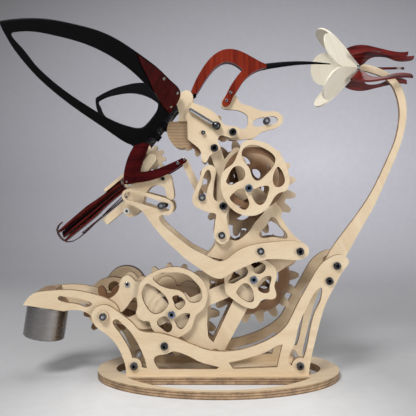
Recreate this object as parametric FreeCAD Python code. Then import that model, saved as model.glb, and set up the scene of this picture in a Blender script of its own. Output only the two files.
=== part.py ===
"""Wooden crank automaton: a laser-cut hummingbird that feeds at a blossom on a curved stem.

Millimetres. X runs from the tail and the counterweight towards the blossom, Y away from the viewer and
Z up. The origin is the middle of the base's underside. Plates lie in XZ, in layers set off along Y.
"""
import FreeCAD, Part
import math
import os

V = FreeCAD.Vector
OUT = "parts"
os.makedirs(OUT, exist_ok=True)

# ---- stock and fits -------------------------------------------------------------------------------------
PLY = 6.0                # birch ply of the mechanism
BASE_T = 9.0             # base board
RUN = 0.05               # radial running clearance of a shaft
SLIP = 0.02              # radial clearance of a pin that is glued or screwed in
SIDE_GAP = 0.4           # air between a swinging plate and the faces beside it

# ---- base -----------------------------------------------------------------------------------------------
BASE_HALF_X = 150.0
BASE_HALF_Y = 91.5
RIM_X = 27.0             # base left outside the crescent slots, at the ends
RIM_Y = 6.0              # and at the front and rear
SLOT_EDGE_Y = 40.0       # straight edge of the crescent slots
END_SLOT_X = 112.5       # straight edge of the slots at the ends
END_SLOT_OUT = 127.0     # half axes of the ellipse that bounds them
END_SLOT_HALF = 60.0

# ---- layers: distance of each plate's inner face from the middle plane ------------------------------------
FRAME_Y = 26.0
ROCKER_Y = 26.0
CAM_Y = 18.0
UPPER_CAM_Y = 28.5
COUNTER_Y = 18.0
THORAX_Y = 18.0
LINK_Y = 18.0 + SIDE_GAP
TOWER_Y = 11.0
BELLY_Y = 13.7
GEAR_Y = 4.0             # gears lie in GEAR_Y .. GEAR_Y + PLY, behind the middle plane

# ---- axes, as (X, Z) --------------------------------------------------------------------------------------
CRANK = (-138.0, 80.0)
GEAR_MODULE = 6.0
TEETH_PINION = 9
TEETH_LEFT = 18
TEETH_RIGHT = 18
TEETH_UPPER = 19
LEFT_DIR = 0.0           # direction of each next gear centre, degrees from +X
RIGHT_DIR = 23.05
UPPER_DIR = 93.35


def along(start, distance, degrees):
    a = math.radians(degrees)
    return (start[0] + distance * math.cos(a), start[1] + distance * math.sin(a))


def mesh_distance(teeth_a, teeth_b):
    return GEAR_MODULE * (teeth_a + teeth_b) / 2


LEFT = along(CRANK, mesh_distance(TEETH_PINION, TEETH_LEFT), LEFT_DIR)
RIGHT = along(LEFT, mesh_distance(TEETH_LEFT, TEETH_RIGHT), RIGHT_DIR)
UPPER = along(RIGHT, mesh_distance(TEETH_RIGHT, TEETH_UPPER), UPPER_DIR)
ROCKER = (97.3, 157.4)
ELBOW = (5.3, 211.4)
PITCH = (-5.3, 281.8)
NOD = (17.0, 301.0)
TOWER_FOOT = (-4.0, 31.0)
FOOT_LEFT = (-101.6, 20.1)
FOOT_RIGHT = (97.5, 20.3)
STEM_SCREWS = ((141.5, 140.2), (132.4, 122.1))
TAIL_PIN = (-106.0, 247.0)
FLOWER = (174.0, 383.7)

# ---- shafts and screws --------------------------------------------------------------------------------------
SHAFT_R = 4.0
STUB_R = 3.0
COLLAR_R = 7.0
HEAD_R = 4.5
HEAD_T = 3.0
BUSH_R = 8.0
ROD_R = 3.0
HUB_R = 12.0


# ---- helpers --------------------------------------------------------------------------------------------------
def at(point, y):
    return V(point[0], y, point[1])


def outline(points, y=0.0):
    """Closed wire through (x, z) points: smooth, with a corner at each point that has a third item."""
    corners = [i for i, p in enumerate(points) if len(p) > 2]
    if not corners:
        curve = Part.BSplineCurve()
        curve.interpolate(Points=[at(p, y) for p in points], PeriodicFlag=True)
        return Part.Wire([curve.toShape()])
    edges = []
    first = corners[0]
    turned = points[first:] + points[:first] + [points[first]]
    run = [turned[0]]
    for p in turned[1:]:
        run.append(p)
        if len(p) > 2:
            places = [at(q, y) for q in run]
            if len(places) == 2:
                edges.append(Part.LineSegment(*places).toShape())
            else:
                curve = Part.BSplineCurve()
                curve.interpolate(Points=places)
                edges.append(curve.toShape())
            run = [p]
    return Part.Wire(edges)


def slab(wire, y0, y1):
    """Plate between y0 and y1 from a wire that lies at y = 0."""
    solid = Part.Face(wire).extrude(V(0, y1 - y0, 0))
    solid.translate(V(0, y0, 0))
    return solid


def plate(points, y0, thick=PLY, side=-1):
    """Plate of an outline whose inner face is y0 from the middle plane, in front for side -1."""
    low, high = (y0, y0 + thick) if side > 0 else (-y0 - thick, -y0)
    return slab(outline(points), low, high)


def rod(centre, radius, y0, y1):
    return Part.makeCylinder(radius, y1 - y0, at(centre, y0), V(0, 1, 0))


def disc(centre, radius, y0, thick=PLY, side=-1):
    low = y0 if side > 0 else -y0 - thick
    return rod(centre, radius, low, low + thick)


def strut(a, ra, b, rb, y0, thick=PLY, side=-1):
    """Tapered bar between two round ends."""
    ax, az = a
    bx, bz = b
    length = math.hypot(bx - ax, bz - az)
    turn = math.atan2(bz - az, bx - ax)
    lean = math.acos((ra - rb) / length)
    corners = []
    for centre, radius, sign in ((a, ra, 1), (b, rb, 1), (b, rb, -1), (a, ra, -1)):
        angle = turn + sign * lean
        corners.append((centre[0] + radius * math.cos(angle), centre[1] + radius * math.sin(angle), "K"))
    body = plate(corners, y0, thick, side)
    return body.fuse([disc(a, ra, y0, thick, side), disc(b, rb, y0, thick, side)]).removeSplitter()


def spindle(centre, steps):
    """Turned pin along Y: steps are (y0, y1, radius), laid end to end."""
    first = steps[0]
    body = rod(centre, first[2], first[0], first[1])
    for y0, y1, radius in steps[1:]:
        body = body.fuse(rod(centre, radius, y0, y1))
    return body.removeSplitter()


def bore(solid, centre, radius):
    return solid.cut(rod(centre, radius, -120, 120))


def mirror(solid):
    return solid.mirror(V(0, 0, 0), V(0, 1, 0))


def save(name, *solids):
    shape = solids[0] if len(solids) == 1 else Part.makeCompound(list(solids))
    shape.exportStep(os.path.join(OUT, name + ".step"))


# ---- gears ------------------------------------------------------------------------------------------------------
PRESSURE = math.radians(25)
ADDENDUM = 0.8 * GEAR_MODULE
DEDENDUM = 1.05 * GEAR_MODULE
THINNING = 0.4           # each tooth is this much thinner than half a pitch, which gives the backlash


def involute(a):
    return math.tan(a) - a


def gear_wire(centre, teeth, phase):
    """Toothed outline: involute flanks drawn as arcs, with a tooth centred on the angle phase."""
    pitch_r = GEAR_MODULE * teeth / 2
    base_r = pitch_r * math.cos(PRESSURE)
    tip_r = pitch_r + ADDENDUM
    root_r = pitch_r - DEDENDUM
    half = (math.pi * GEAR_MODULE / 2 - THINNING) / (2 * pitch_r)
    start_r = max(base_r, root_r + 0.3)

    def flank(radius):
        return half + involute(PRESSURE) - involute(math.acos(min(1.0, base_r / radius)))

    def spot(radius, angle):
        return at((centre[0] + radius * math.cos(angle), centre[1] + radius * math.sin(angle)), 0)

    edges = []
    step = 2 * math.pi / teeth
    middle_r = (start_r + tip_r) / 2
    for n in range(teeth):
        a = phase + n * step
        low, mid, high = flank(start_r), flank(middle_r), flank(tip_r)
        foot = [spot(root_r, a - low), spot(start_r, a - low)]
        rise = [spot(start_r, a - low), spot(middle_r, a - mid), spot(tip_r, a - high)]
        crest = [spot(tip_r, a - high), spot(tip_r, a), spot(tip_r, a + high)]
        fall = [spot(tip_r, a + high), spot(middle_r, a + mid), spot(start_r, a + low)]
        drop = [spot(start_r, a + low), spot(root_r, a + low)]
        valley = [spot(root_r, a + low), spot(root_r, a + step / 2), spot(root_r, a + step - low)]
        edges.append(Part.LineSegment(*foot).toShape())
        edges += [Part.Arc(*three).toShape() for three in (rise, crest, fall)]
        edges.append(Part.LineSegment(*drop).toShape())
        edges.append(Part.Arc(*valley).toShape())
    return Part.Wire(edges)


def mate_phase(phase, teeth, centre, mate_teeth, mate_centre):
    """Phase of the mate whose teeth stand in the gaps of a gear of the given phase."""
    line = math.atan2(mate_centre[1] - centre[1], mate_centre[0] - centre[0])
    pitch = math.pi * GEAR_MODULE
    offset = (phase - line) * GEAR_MODULE * teeth / 2
    return line + math.pi - (offset + pitch / 2) / (GEAR_MODULE * mate_teeth / 2)


PINION_PHASE = math.radians(-90)
LEFT_PHASE = mate_phase(PINION_PHASE, TEETH_PINION, CRANK, TEETH_LEFT, LEFT)
RIGHT_PHASE = mate_phase(LEFT_PHASE, TEETH_LEFT, LEFT, TEETH_RIGHT, RIGHT)
UPPER_PHASE = mate_phase(RIGHT_PHASE, TEETH_RIGHT, RIGHT, TEETH_UPPER, UPPER)


def ring_of_windows(centre, radius, window_r, count, y0, y1, turn=0.0):
    holes = [rod(along(centre, radius, turn + 360.0 * n / count), window_r, y0, y1) for n in range(count)]
    return Part.makeCompound(holes)


def gear(centre, teeth, phase, windows):
    solid = slab(gear_wire(centre, teeth, phase), GEAR_Y, GEAR_Y + PLY)
    if windows:
        ring_r = (GEAR_MODULE * teeth / 2 - DEDENDUM) * 0.58
        solid = solid.cut(ring_of_windows(centre, ring_r, 11.5, windows, GEAR_Y - 1, GEAR_Y + PLY + 1))
    return bore(solid, centre, SHAFT_R + SLIP)


def lobed_wheel(centre, radius, lobes, turn=0.0):
    """Rosette beside a gear: a disc with round lobes, seated on the gear's front face."""
    y0 = GEAR_Y - PLY
    body = rod(centre, radius * 0.72, y0, GEAR_Y)
    for n in range(lobes):
        body = body.fuse(rod(along(centre, radius * 0.74, turn + 360.0 * n / lobes), radius * 0.26, y0, GEAR_Y))
    body = body.cut(ring_of_windows(centre, radius * 0.46, radius * 0.17, lobes, y0 - 1, GEAR_Y + 1, turn))
    return bore(body, centre, SHAFT_R + SLIP).removeSplitter()


def gear_shaft(centre, front_cam_y, rear_cam_y):
    """Turned shaft: a collar behind the gear, a stub and a screw head at each cam."""
    front = front_cam_y + PLY
    rear_collar = TOWER_Y - SIDE_GAP
    steps = [
        (-front - HEAD_T, -front, HEAD_R),
        (-front, -front_cam_y, STUB_R),
        (-front_cam_y, GEAR_Y + PLY, SHAFT_R),
        (GEAR_Y + PLY, rear_collar, COLLAR_R),
        (rear_collar, TOWER_Y + PLY + SIDE_GAP, SHAFT_R),
    ]
    if rear_cam_y:
        rear = rear_cam_y + PLY
        steps += [
            (TOWER_Y + PLY + SIDE_GAP, rear_cam_y, SHAFT_R),
            (rear_cam_y, rear, STUB_R),
            (rear, rear + HEAD_T, HEAD_R),
        ]
    else:
        steps.append((TOWER_Y + PLY + SIDE_GAP, TOWER_Y + PLY + SIDE_GAP + HEAD_T, HEAD_R + 1.0))
    return spindle(centre, steps)


# ---- base and frames ----------------------------------------------------------------------------------------------
def ellipse_slab(half_x, half_y, z0, z1):
    curve = Part.Ellipse(V(0, 0, z0), half_x, half_y)
    return Part.Face(Part.Wire([curve.toShape()])).extrude(V(0, 0, z1 - z0))


def crescent(side):
    """Slot between a straight edge beside the frame and the inner edge of the rim."""
    inner = ellipse_slab(BASE_HALF_X - RIM_X, BASE_HALF_Y - RIM_Y, -1, BASE_T + 1)
    y0 = SLOT_EDGE_Y if side > 0 else -BASE_HALF_Y
    half = Part.makeBox(2 * BASE_HALF_X, BASE_HALF_Y - SLOT_EDGE_Y, BASE_T + 2, V(-BASE_HALF_X, y0, -1))
    return inner.common(half)


def base():
    board = ellipse_slab(BASE_HALF_X, BASE_HALF_Y, 0, BASE_T)
    for side in (-1, 1):
        board = board.cut(crescent(side))
        x0 = END_SLOT_X if side > 0 else -BASE_HALF_X
        end = Part.makeBox(BASE_HALF_X - END_SLOT_X, 2 * END_SLOT_HALF, BASE_T + 2, V(x0, -END_SLOT_HALF, -1))
        board = board.cut(end.common(ellipse_slab(END_SLOT_OUT, END_SLOT_HALF, -1, BASE_T + 1)))
    return board


FRAME = [
    (-111.0, BASE_T, "K"), (-112.8, 23.7), (-117.6, 36.2), (-123.9, 47.3), (-135.2, 58.4), (-147.7, 68.0),
    (-152.5, 78.5), (-147.6, 89.6), (-137.2, 93.2), (-123.9, 87.2), (-112.8, 79.0), (-103.3, 71.1),
    (-95.0, 62.6), (-84.0, 60.2), (-71.7, 59.3), (-56.1, 55.3), (-39.7, 48.9), (-23.8, 42.5), (-11.0, 38.6),
    (2.6, 37.4), (18.7, 38.1), (34.9, 41.7), (50.5, 47.3), (66.0, 55.3), (75.6, 62.4), (82.3, 70.0),
    (88.8, 82.4), (98.4, 101.6), (110.8, 123.6), (122.0, 141.1), (134.0, 150.3), (150.0, 152.2),
    (155.8, 145.9), (150.5, 136.0), (139.5, 117.1), (128.3, 95.0), (120.4, 69.6), (114.0, 44.1),
    (110.1, 26.7), (107.8, BASE_T, "K"),
]
FRAME_SLOTS = [
    [(-126.8, 74.2), (-125.6, 68.2), (-120.8, 62.0), (-113.2, 50.7), (-106.4, 38.1), (-103.7, 29.6, "K"),
     (-95.0, 27.0), (-92.3, 18.6, "K"), (-86.1, 17.4, "K"), (-88.5, 27.7), (-93.2, 39.3), (-100.8, 53.6),
     (-109.4, 64.9), (-117.0, 72.0), (-123.2, 76.0)],
    [(-74.1, 32.4), (-68.3, 33.8), (-62.6, 34.6), (-55.0, 37.6), (-46.4, 36.0), (-34.9, 31.5), (-22.6, 25.0),
     (-10.0, 21.4), (0.5, 18.6, "K"), (-3.0, 16.3, "K"), (-71.7, 16.3, "K")],
    [(11.7, 24.3, "K"), (17.2, 16.6, "K"), (70.0, 18.6, "K"), (76.2, 45.7, "K"), (72.8, 45.6), (63.3, 40.6),
     (42.6, 31.8), (23.5, 26.7)],
    [(122.4, 114.0), (123.6, 106.7), (115.6, 85.5), (109.2, 61.7), (103.8, 36.0), (101.6, 29.6, "K"),
     (91.2, 27.6), (87.4, 20.4, "K"), (83.9, 25.1), (90.2, 45.7), (93.5, 58.4), (96.6, 71.1),
     (107.7, 95.0), (118.6, 112.0)],
]


def frame(side):
    body = plate(FRAME, FRAME_Y, side=side)
    for points in FRAME_SLOTS:
        body = body.cut(plate(points, FRAME_Y - 1, PLY + 2, side))
    body = bore(body, CRANK, SHAFT_R + RUN)
    for centre in (FOOT_LEFT, FOOT_RIGHT, TOWER_FOOT) + STEM_SCREWS:
        body = bore(body, centre, ROD_R + SLIP)
    return body


def tie_rod(centre):
    outer = FRAME_Y + PLY
    return spindle(centre, [(-outer - HEAD_T, -outer, HEAD_R), (-outer, outer, ROD_R),
                            (outer, outer + HEAD_T, HEAD_R)])


def foot_rod(centre):
    """Tie rod with a distance tube between the frames."""
    outer = FRAME_Y + PLY
    return spindle(centre, [(-outer - HEAD_T, -outer, HEAD_R), (-outer, -FRAME_Y, ROD_R),
                            (-FRAME_Y, FRAME_Y, ROD_R + 1.5), (FRAME_Y, outer, ROD_R),
                            (outer, outer + HEAD_T, HEAD_R)])


# ---- tower ----------------------------------------------------------------------------------------------------------
TOWER_KNEE = (3.5, 165.0)
TOWER_TOP = (4.5, 254.0)
TOWER_SHOULDER = (22.0, 277.0)
TOWER_RIGHT = (70.0, 204.0)
TOWER_BARS = [
    (CRANK, 10.0, LEFT, 10.0),
    (LEFT, 10.0, TOWER_FOOT, 8.0),
    (TOWER_FOOT, 8.0, RIGHT, 11.0),
    (LEFT, 9.0, RIGHT, 9.0),
    (RIGHT, 10.0, TOWER_KNEE, 8.0),
    (RIGHT, 10.0, ROCKER, 9.0),
    (TOWER_KNEE, 8.0, ELBOW, 8.0),
    (ELBOW, 8.0, TOWER_TOP, 7.0),
    (ELBOW, 8.0, UPPER, 10.0),
    (TOWER_TOP, 7.0, PITCH, 7.5),
    (TOWER_TOP, 7.0, TOWER_SHOULDER, 6.0),
    (UPPER, 9.0, TOWER_SHOULDER, 6.0),
    (UPPER, 10.0, TOWER_RIGHT, 7.5),
]
TOWER_PANEL = [
    (66.0, 222.0, "K"), (71.6, 212.0), (74.1, 202.0), (79.3, 192.8), (87.0, 181.0), (95.6, 172.2),
    (105.9, 164.5, "K"), (105.9, 150.8, "K"), (88.7, 149.9), (54.4, 152.0), (28.7, 148.0),
    (11.5, 144.0, "K"), (-15.9, 150.8, "K"), (-9.9, 156.0), (-3.5, 167.0, "K"), (5.5, 170.0),
    (14.1, 170.3), (20.1, 168.8), (28.7, 172.6), (39.0, 182.5), (45.8, 192.8), (54.4, 202.2),
    (58.0, 213.4, "K"),
]
TOWER_PANEL_WINDOW = [
    (66.0, 197.9), (68.3, 196.9), (75.8, 185.9), (84.0, 175.0), (83.6, 172.2), (78.4, 171.5), (63.0, 173.1),
    (50.5, 173.8), (49.4, 175.6), (57.8, 186.8), (62.1, 194.5),
]
TOWER_LOBE = [
    (-146.0, 88.0, "K"), (-134.6, 97.4), (-126.5, 102.9), (-122.0, 109.5), (-120.8, 117.6), (-116.7, 124.5),
    (-110.2, 126.6), (-105.4, 123.3), (-101.3, 119.3), (-92.4, 119.7), (-81.1, 114.4), (-72.9, 104.0, "K"),
    (-62.0, 92.0, "K"), (-62.0, 70.0, "K"), (-81.1, 62.0), (-93.2, 60.8), (-105.4, 63.3), (-121.6, 67.0),
    (-137.8, 68.2, "K"),
]
TOWER_LOBE_WINDOW = [
    (-120.0, 82.0), (-110.2, 90.9), (-101.7, 99.4), (-99.3, 92.5), (-99.7, 80.1), (-105.4, 76.9),
    (-115.1, 77.1),
]


def tower(side):
    bars = [strut(a, ra, b, rb, TOWER_Y, PLY, side) for a, ra, b, rb in TOWER_BARS]
    bars += [plate(points, TOWER_Y, PLY, side) for points in (TOWER_PANEL, TOWER_LOBE)]
    bars += [disc(centre, HUB_R, TOWER_Y, PLY, side) for centre in (CRANK, LEFT, RIGHT, UPPER)]
    body = bars[0].fuse(bars[1:]).removeSplitter()
    for points in (TOWER_PANEL_WINDOW, TOWER_LOBE_WINDOW):
        body = body.cut(plate(points, TOWER_Y - 1, PLY + 2, side))
    for centre in (CRANK, LEFT, RIGHT, UPPER):
        body = bore(body, centre, SHAFT_R + RUN)
    for centre in (ROCKER, ELBOW, PITCH, TOWER_FOOT):
        body = bore(body, centre, STUB_R + SLIP)
    return body


def sleeve(centre, outer_r, inner_r, y0, y1):
    return rod(centre, outer_r, y0, y1).cut(rod(centre, inner_r, y0 - 1, y1 + 1))


def pivot_screw(centre, plate_y, side):
    """Shouldered screw in a tower plate: a swinging plate turns on it, between a collar and the head."""
    outer = plate_y + PLY + SIDE_GAP
    steps = [(TOWER_Y, TOWER_Y + PLY, STUB_R)]
    if plate_y - SIDE_GAP > TOWER_Y + PLY + 1.0:
        steps.append((TOWER_Y + PLY, plate_y - SIDE_GAP, STUB_R + 3.0))
        steps.append((plate_y - SIDE_GAP, outer, STUB_R))
    else:
        steps.append((TOWER_Y + PLY, outer, STUB_R))
    steps.append((outer, outer + HEAD_T, HEAD_R))
    body = spindle(centre, steps)
    return body if side > 0 else mirror(body)


# ---- cams -------------------------------------------------------------------------------------------------------------
def cam(points, windows, centre, y0, side):
    body = plate(points, y0, side=side)
    for hole in windows:
        body = body.cut(plate(hole, y0 - 1, PLY + 2, side))
    return bore(body, centre, STUB_R + SLIP)


LEFT_CAM = [
    (-97.3, 109.9), (-90.9, 123.6), (-79.2, 131.3), (-60.8, 137.2), (-49.8, 137.6), (-38.9, 134.8),
    (-27.9, 129.0), (-18.3, 120.0), (-13.6, 107.4), (-15.4, 93.8), (-20.0, 85.5), (-25.6, 80.9), (-29.3, 75.3),
    (-31.1, 67.9), (-34.9, 61.4), (-40.3, 56.9), (-49.1, 52.1), (-64.4, 54.5), (-76.4, 58.5), (-81.6, 64.9),
    (-84.4, 71.4), (-90.9, 72.2), (-97.3, 76.2), (-100.1, 82.6), (-98.5, 89.0), (-98.9, 97.1),
]
LEFT_CAM_WINDOWS = [
    [(-78.8, 122.0), (-79.6, 123.6), (-74.0, 129.2), (-63.6, 131.0), (-50.0, 131.0), (-37.6, 127.7),
     (-28.4, 119.8), (-21.9, 111.4), (-20.0, 105.0), (-20.5, 99.4), (-23.7, 95.7), (-29.3, 94.3),
     (-34.9, 95.2), (-41.3, 104.0), (-46.9, 108.7), (-56.3, 110.7), (-68.4, 113.9)],
    [(-85.2, 117.5), (-72.4, 109.9), (-64.4, 101.9), (-60.7, 93.8), (-63.0, 88.2), (-80.4, 81.4),
     (-84.4, 85.0), (-90.1, 93.8), (-93.1, 103.5), (-91.7, 111.5)],
    [(-55.5, 101.9), (-50.7, 103.5), (-42.7, 98.7), (-40.3, 93.8), (-42.7, 89.8), (-48.3, 85.8),
     (-52.3, 88.6), (-54.7, 95.5)],
    [(-74.8, 71.4), (-70.0, 77.0), (-64.4, 77.8), (-58.7, 72.2), (-56.3, 65.7), (-57.9, 60.1),
     (-61.1, 58.5), (-68.4, 62.5), (-73.2, 66.5)],
    [(-53.1, 74.6), (-48.3, 78.6), (-40.3, 81.8), (-34.9, 80.9), (-35.8, 75.3), (-40.3, 66.5),
     (-45.1, 62.5), (-49.9, 64.9), (-52.3, 69.8)],
]
RIGHT_CAM = [
    (6.8, 123.5), (7.3, 112.4), (9.6, 105.0), (16.1, 99.4), (23.5, 93.8), (34.7, 88.3), (42.1, 87.4),
    (46.7, 90.1), (50.9, 96.2), (55.0, 98.5), (64.3, 98.5), (68.5, 100.3), (68.9, 108.7), (67.5, 113.3),
    (68.9, 120.7), (70.3, 129.1), (67.5, 137.9), (60.6, 143.4), (45.0, 152.0), (30.0, 150.5), (16.0, 142.0),
    (9.0, 130.0),
]
RIGHT_CAM_WINDOWS = [
    [(11.9, 118.4), (18.0, 117.9), (26.3, 122.6), (34.2, 127.7), (35.1, 133.7), (31.9, 138.3), (27.2, 137.4),
     (19.8, 133.7), (16.1, 128.1), (13.3, 122.6)],
    [(39.3, 141.1), (44.4, 143.7), (50.4, 143.4), (56.0, 140.2), (56.9, 136.5), (53.2, 130.9),
     (47.6, 129.2), (43.5, 130.8), (40.7, 135.5)],
    [(47.4, 117.4), (50.0, 121.6), (53.5, 124.8), (58.7, 126.7), (63.2, 126.3), (63.4, 120.7), (61.7, 113.3),
     (61.1, 107.6), (53.2, 106.4), (49.0, 108.7), (46.8, 112.4)],
    [(21.2, 107.7), (24.5, 113.3), (31.9, 118.2), (36.0, 117.0), (39.7, 112.4), (42.5, 103.1), (41.1, 95.7),
     (36.5, 95.0), (30.0, 98.0), (23.1, 103.6)],
]
UPPER_CAM = [
    (29.0, 288.0), (35.7, 290.6), (45.7, 290.0), (59.7, 285.0), (71.8, 274.9), (79.6, 263.0), (83.3, 250.7),
    (83.9, 236.9), (80.0, 230.2), (72.6, 227.6), (66.1, 222.0), (60.6, 212.7), (53.1, 205.0), (42.0, 200.4),
    (31.8, 200.4), (19.7, 205.0), (10.5, 213.9), (4.4, 224.8), (2.1, 236.9), (3.7, 250.0), (9.0, 256.6),
    (16.1, 261.9), (21.6, 272.0), (25.2, 281.0),
]
UPPER_CAM_WINDOWS = [
    [(27.4, 271.0), (30.6, 281.5), (36.6, 284.4), (54.0, 280.7), (67.5, 267.2), (64.6, 258.7), (54.8, 247.6),
     (45.7, 242.0), (40.8, 245.2), (36.6, 256.3)],
    [(72.0, 258.2), (77.4, 249.0), (77.4, 237.9), (69.5, 234.3), (64.3, 244.2)],
    [(39.6, 229.9), (45.7, 233.6), (60.1, 234.3), (58.9, 226.8), (54.0, 215.6), (49.5, 212.9)],
    [(13.2, 222.4), (20.2, 229.9), (28.2, 233.0), (32.5, 225.6), (35.8, 211.9), (32.7, 207.8), (22.1, 211.7)],
    [(8.6, 241.8), (11.5, 249.0), (21.1, 259.6), (26.2, 258.9), (31.4, 249.0), (29.4, 244.0), (21.6, 240.1),
     (12.4, 237.2)],
]

# ---- rocker arm and elbow link --------------------------------------------------------------------------------------
ROCKER_ARM = [
    (-116.1, 225.7), (-113.3, 230.5), (-107.5, 232.2), (-97.0, 230.5), (-77.9, 225.2), (-63.6, 220.9),
    (-56.9, 217.1), (-54.1, 211.4), (-55.0, 205.6), (-58.9, 201.3), (-64.6, 200.9), (-70.3, 199.9),
    (-71.3, 197.5), (-68.4, 191.3), (-60.8, 183.7), (-49.3, 174.1), (-39.8, 166.5), (-30.2, 159.8),
    (-16.8, 153.1), (-8.2, 148.4), (0.7, 145.4), (9.8, 148.1), (19.3, 155.8), (33.7, 163.1), (48.6, 166.7),
    (70.2, 169.1), (97.3, 168.4), (107.6, 161.2), (106.8, 153.3), (96.3, 147.4), (77.5, 148.0),
    (48.6, 145.9), (26.5, 136.9), (12.2, 129.7), (2.1, 124.6), (-8.0, 127.0), (-20.7, 135.1),
    (-30.2, 141.7), (-39.8, 148.4), (-51.2, 158.9), (-60.8, 167.4), (-71.3, 178.9), (-79.9, 189.4),
    (-87.5, 199.9), (-93.2, 206.6), (-100.9, 211.4), (-109.5, 215.2), (-114.2, 219.0),
]
ROCKER_SLOT = [
    (-113.3, 224.3), (-111.4, 227.6), (-106.6, 228.6), (-95.1, 225.7), (-77.9, 220.0), (-63.6, 215.7),
    (-57.9, 213.3), (-57.9, 209.5), (-61.7, 205.6), (-68.4, 207.1), (-79.9, 210.4), (-93.2, 214.7),
    (-106.6, 218.5), (-112.3, 221.4),
]
ELBOW_LINK = [
    (-10.8, 261.2), (-18.2, 258.0), (-22.6, 245.3), (-28.2, 232.1), (-31.9, 218.9), (-29.0, 211.6),
    (-21.8, 207.6), (-9.9, 203.4), (-3.6, 201.7), (-3.8, 196.0), (-5.3, 184.7), (-5.7, 175.4), (-2.3, 168.6),
    (3.6, 165.2), (9.6, 167.7), (13.4, 173.7), (13.0, 180.5), (10.9, 189.0), (10.0, 200.0), (12.3, 207.5),
    (11.8, 214.0), (8.5, 218.3), (3.2, 219.0), (-2.4, 217.4), (-6.0, 221.1), (-6.5, 228.9), (-4.8, 244.1),
    (-3.6, 255.1),
]
ELBOW_SLOT = [
    (-20.6, 217.4), (-16.4, 221.0), (-13.6, 232.0), (-9.4, 250.0), (-12.6, 255.3), (-16.4, 252.0),
    (-21.0, 236.0), (-24.4, 222.0),
]


def rocker_arm(side):
    body = plate(ROCKER_ARM, ROCKER_Y, side=side).cut(plate(ROCKER_SLOT, ROCKER_Y - 1, PLY + 2, side))
    return bore(body, ROCKER, STUB_R + RUN)


def elbow_link(side):
    body = plate(ELBOW_LINK, LINK_Y, side=side).cut(plate(ELBOW_SLOT, LINK_Y - 1, PLY + 2, side))
    return bore(body, ELBOW, STUB_R + RUN)


# ---- counterweight ------------------------------------------------------------------------------------------------------
COUNTER_ARM = [
    (-237.2, 91.6, "K"), (-231.0, 100.0), (-225.3, 105.0), (-212.8, 108.1), (-188.8, 109.8), (-169.4, 108.6),
    (-150.2, 104.2), (-133.7, 98.4), (-122.5, 89.0), (-121.6, 75.0), (-131.0, 65.0), (-144.0, 65.4),
    (-152.0, 74.5), (-161.7, 83.1), (-173.3, 85.6), (-187.6, 84.1, "K"),
]
COUNTER_SLOT = [
    (-191.6, 102.6), (-179.1, 100.8), (-159.8, 96.6), (-153.4, 92.4), (-158.0, 89.4), (-168.0, 91.6),
    (-179.1, 93.8), (-190.8, 96.1), (-195.0, 99.8),
]
COUNTER_HEAD = [
    (-237.2, 91.6, "K"), (-231.0, 100.0), (-225.3, 105.0), (-212.8, 108.1), (-200.0, 109.2, "K"),
    (-197.0, 97.0), (-187.6, 84.1, "K"),
]
WEIGHT_R = 25.4
WEIGHT_LENGTH = 40.0
WEIGHT_TOP = (-212.4, 87.85)
WEIGHT_TILT = math.atan2(COUNTER_HEAD[0][1] - COUNTER_HEAD[-1][1], COUNTER_HEAD[-1][0] - COUNTER_HEAD[0][0])
WEIGHT_EDGE = 1.2


def counter_arm(side):
    body = plate(COUNTER_ARM, COUNTER_Y, side=side).cut(plate(COUNTER_SLOT, COUNTER_Y - 1, PLY + 2, side))
    return bore(body, CRANK, BUSH_R + RUN)


def weight():
    down = V(-math.sin(WEIGHT_TILT), 0, -math.cos(WEIGHT_TILT))
    body = Part.makeCylinder(WEIGHT_R, WEIGHT_LENGTH, at(WEIGHT_TOP, 0), down)
    rims = [e for e in body.Edges if isinstance(e.Curve, Part.Circle)]
    return body.makeChamfer(WEIGHT_EDGE, rims)


# ---- crank ------------------------------------------------------------------------------------------------------------------
CRANK_WHEEL_R = 36.0
CRANK_WHEEL_Y = 38.0
CRANK_WHEEL_T = 9.0
KNOB_CENTRE = (-122.6, 102.3)
KNOB_R = 27.0
KNOB_T = 14.0
KNOB_COLLAR_T = 4.0
PIN_R = 4.0


def crank_wheel():
    y1 = CRANK_WHEEL_Y + CRANK_WHEEL_T
    body = rod(CRANK, CRANK_WHEEL_R, CRANK_WHEEL_Y, y1)
    body = body.cut(ring_of_windows(CRANK, 23.0, 8.0, 6, CRANK_WHEEL_Y - 1, y1 + 1, 25.0))
    body = body.fuse(rod(KNOB_CENTRE, 9.0, CRANK_WHEEL_Y, y1))
    return bore(bore(body, CRANK, SHAFT_R + SLIP), KNOB_CENTRE, PIN_R + SLIP).removeSplitter()


def crank_shaft():
    outer = FRAME_Y + PLY
    wheel = CRANK_WHEEL_Y + CRANK_WHEEL_T
    return spindle(CRANK, [
        (-outer - SIDE_GAP - HEAD_T, -outer - SIDE_GAP, HEAD_R + 1.5),
        (-outer - SIDE_GAP, GEAR_Y + PLY, SHAFT_R),
        (GEAR_Y + PLY, TOWER_Y - SIDE_GAP, COLLAR_R),
        (TOWER_Y - SIDE_GAP, outer + SIDE_GAP, SHAFT_R),
        (outer + SIDE_GAP, CRANK_WHEEL_Y, COLLAR_R),
        (CRANK_WHEEL_Y, wheel, SHAFT_R),
        (wheel, wheel + HEAD_T, COLLAR_R),
    ])


def knob_pin():
    y0 = CRANK_WHEEL_Y
    y1 = y0 + CRANK_WHEEL_T
    y2 = y1 + KNOB_COLLAR_T
    y3 = y2 + KNOB_T + 2 * SIDE_GAP
    return spindle(KNOB_CENTRE, [(y0, y1, PIN_R), (y1, y2, PIN_R + 3), (y2, y3, PIN_R),
                                 (y3, y3 + HEAD_T, PIN_R + 3)])


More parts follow.
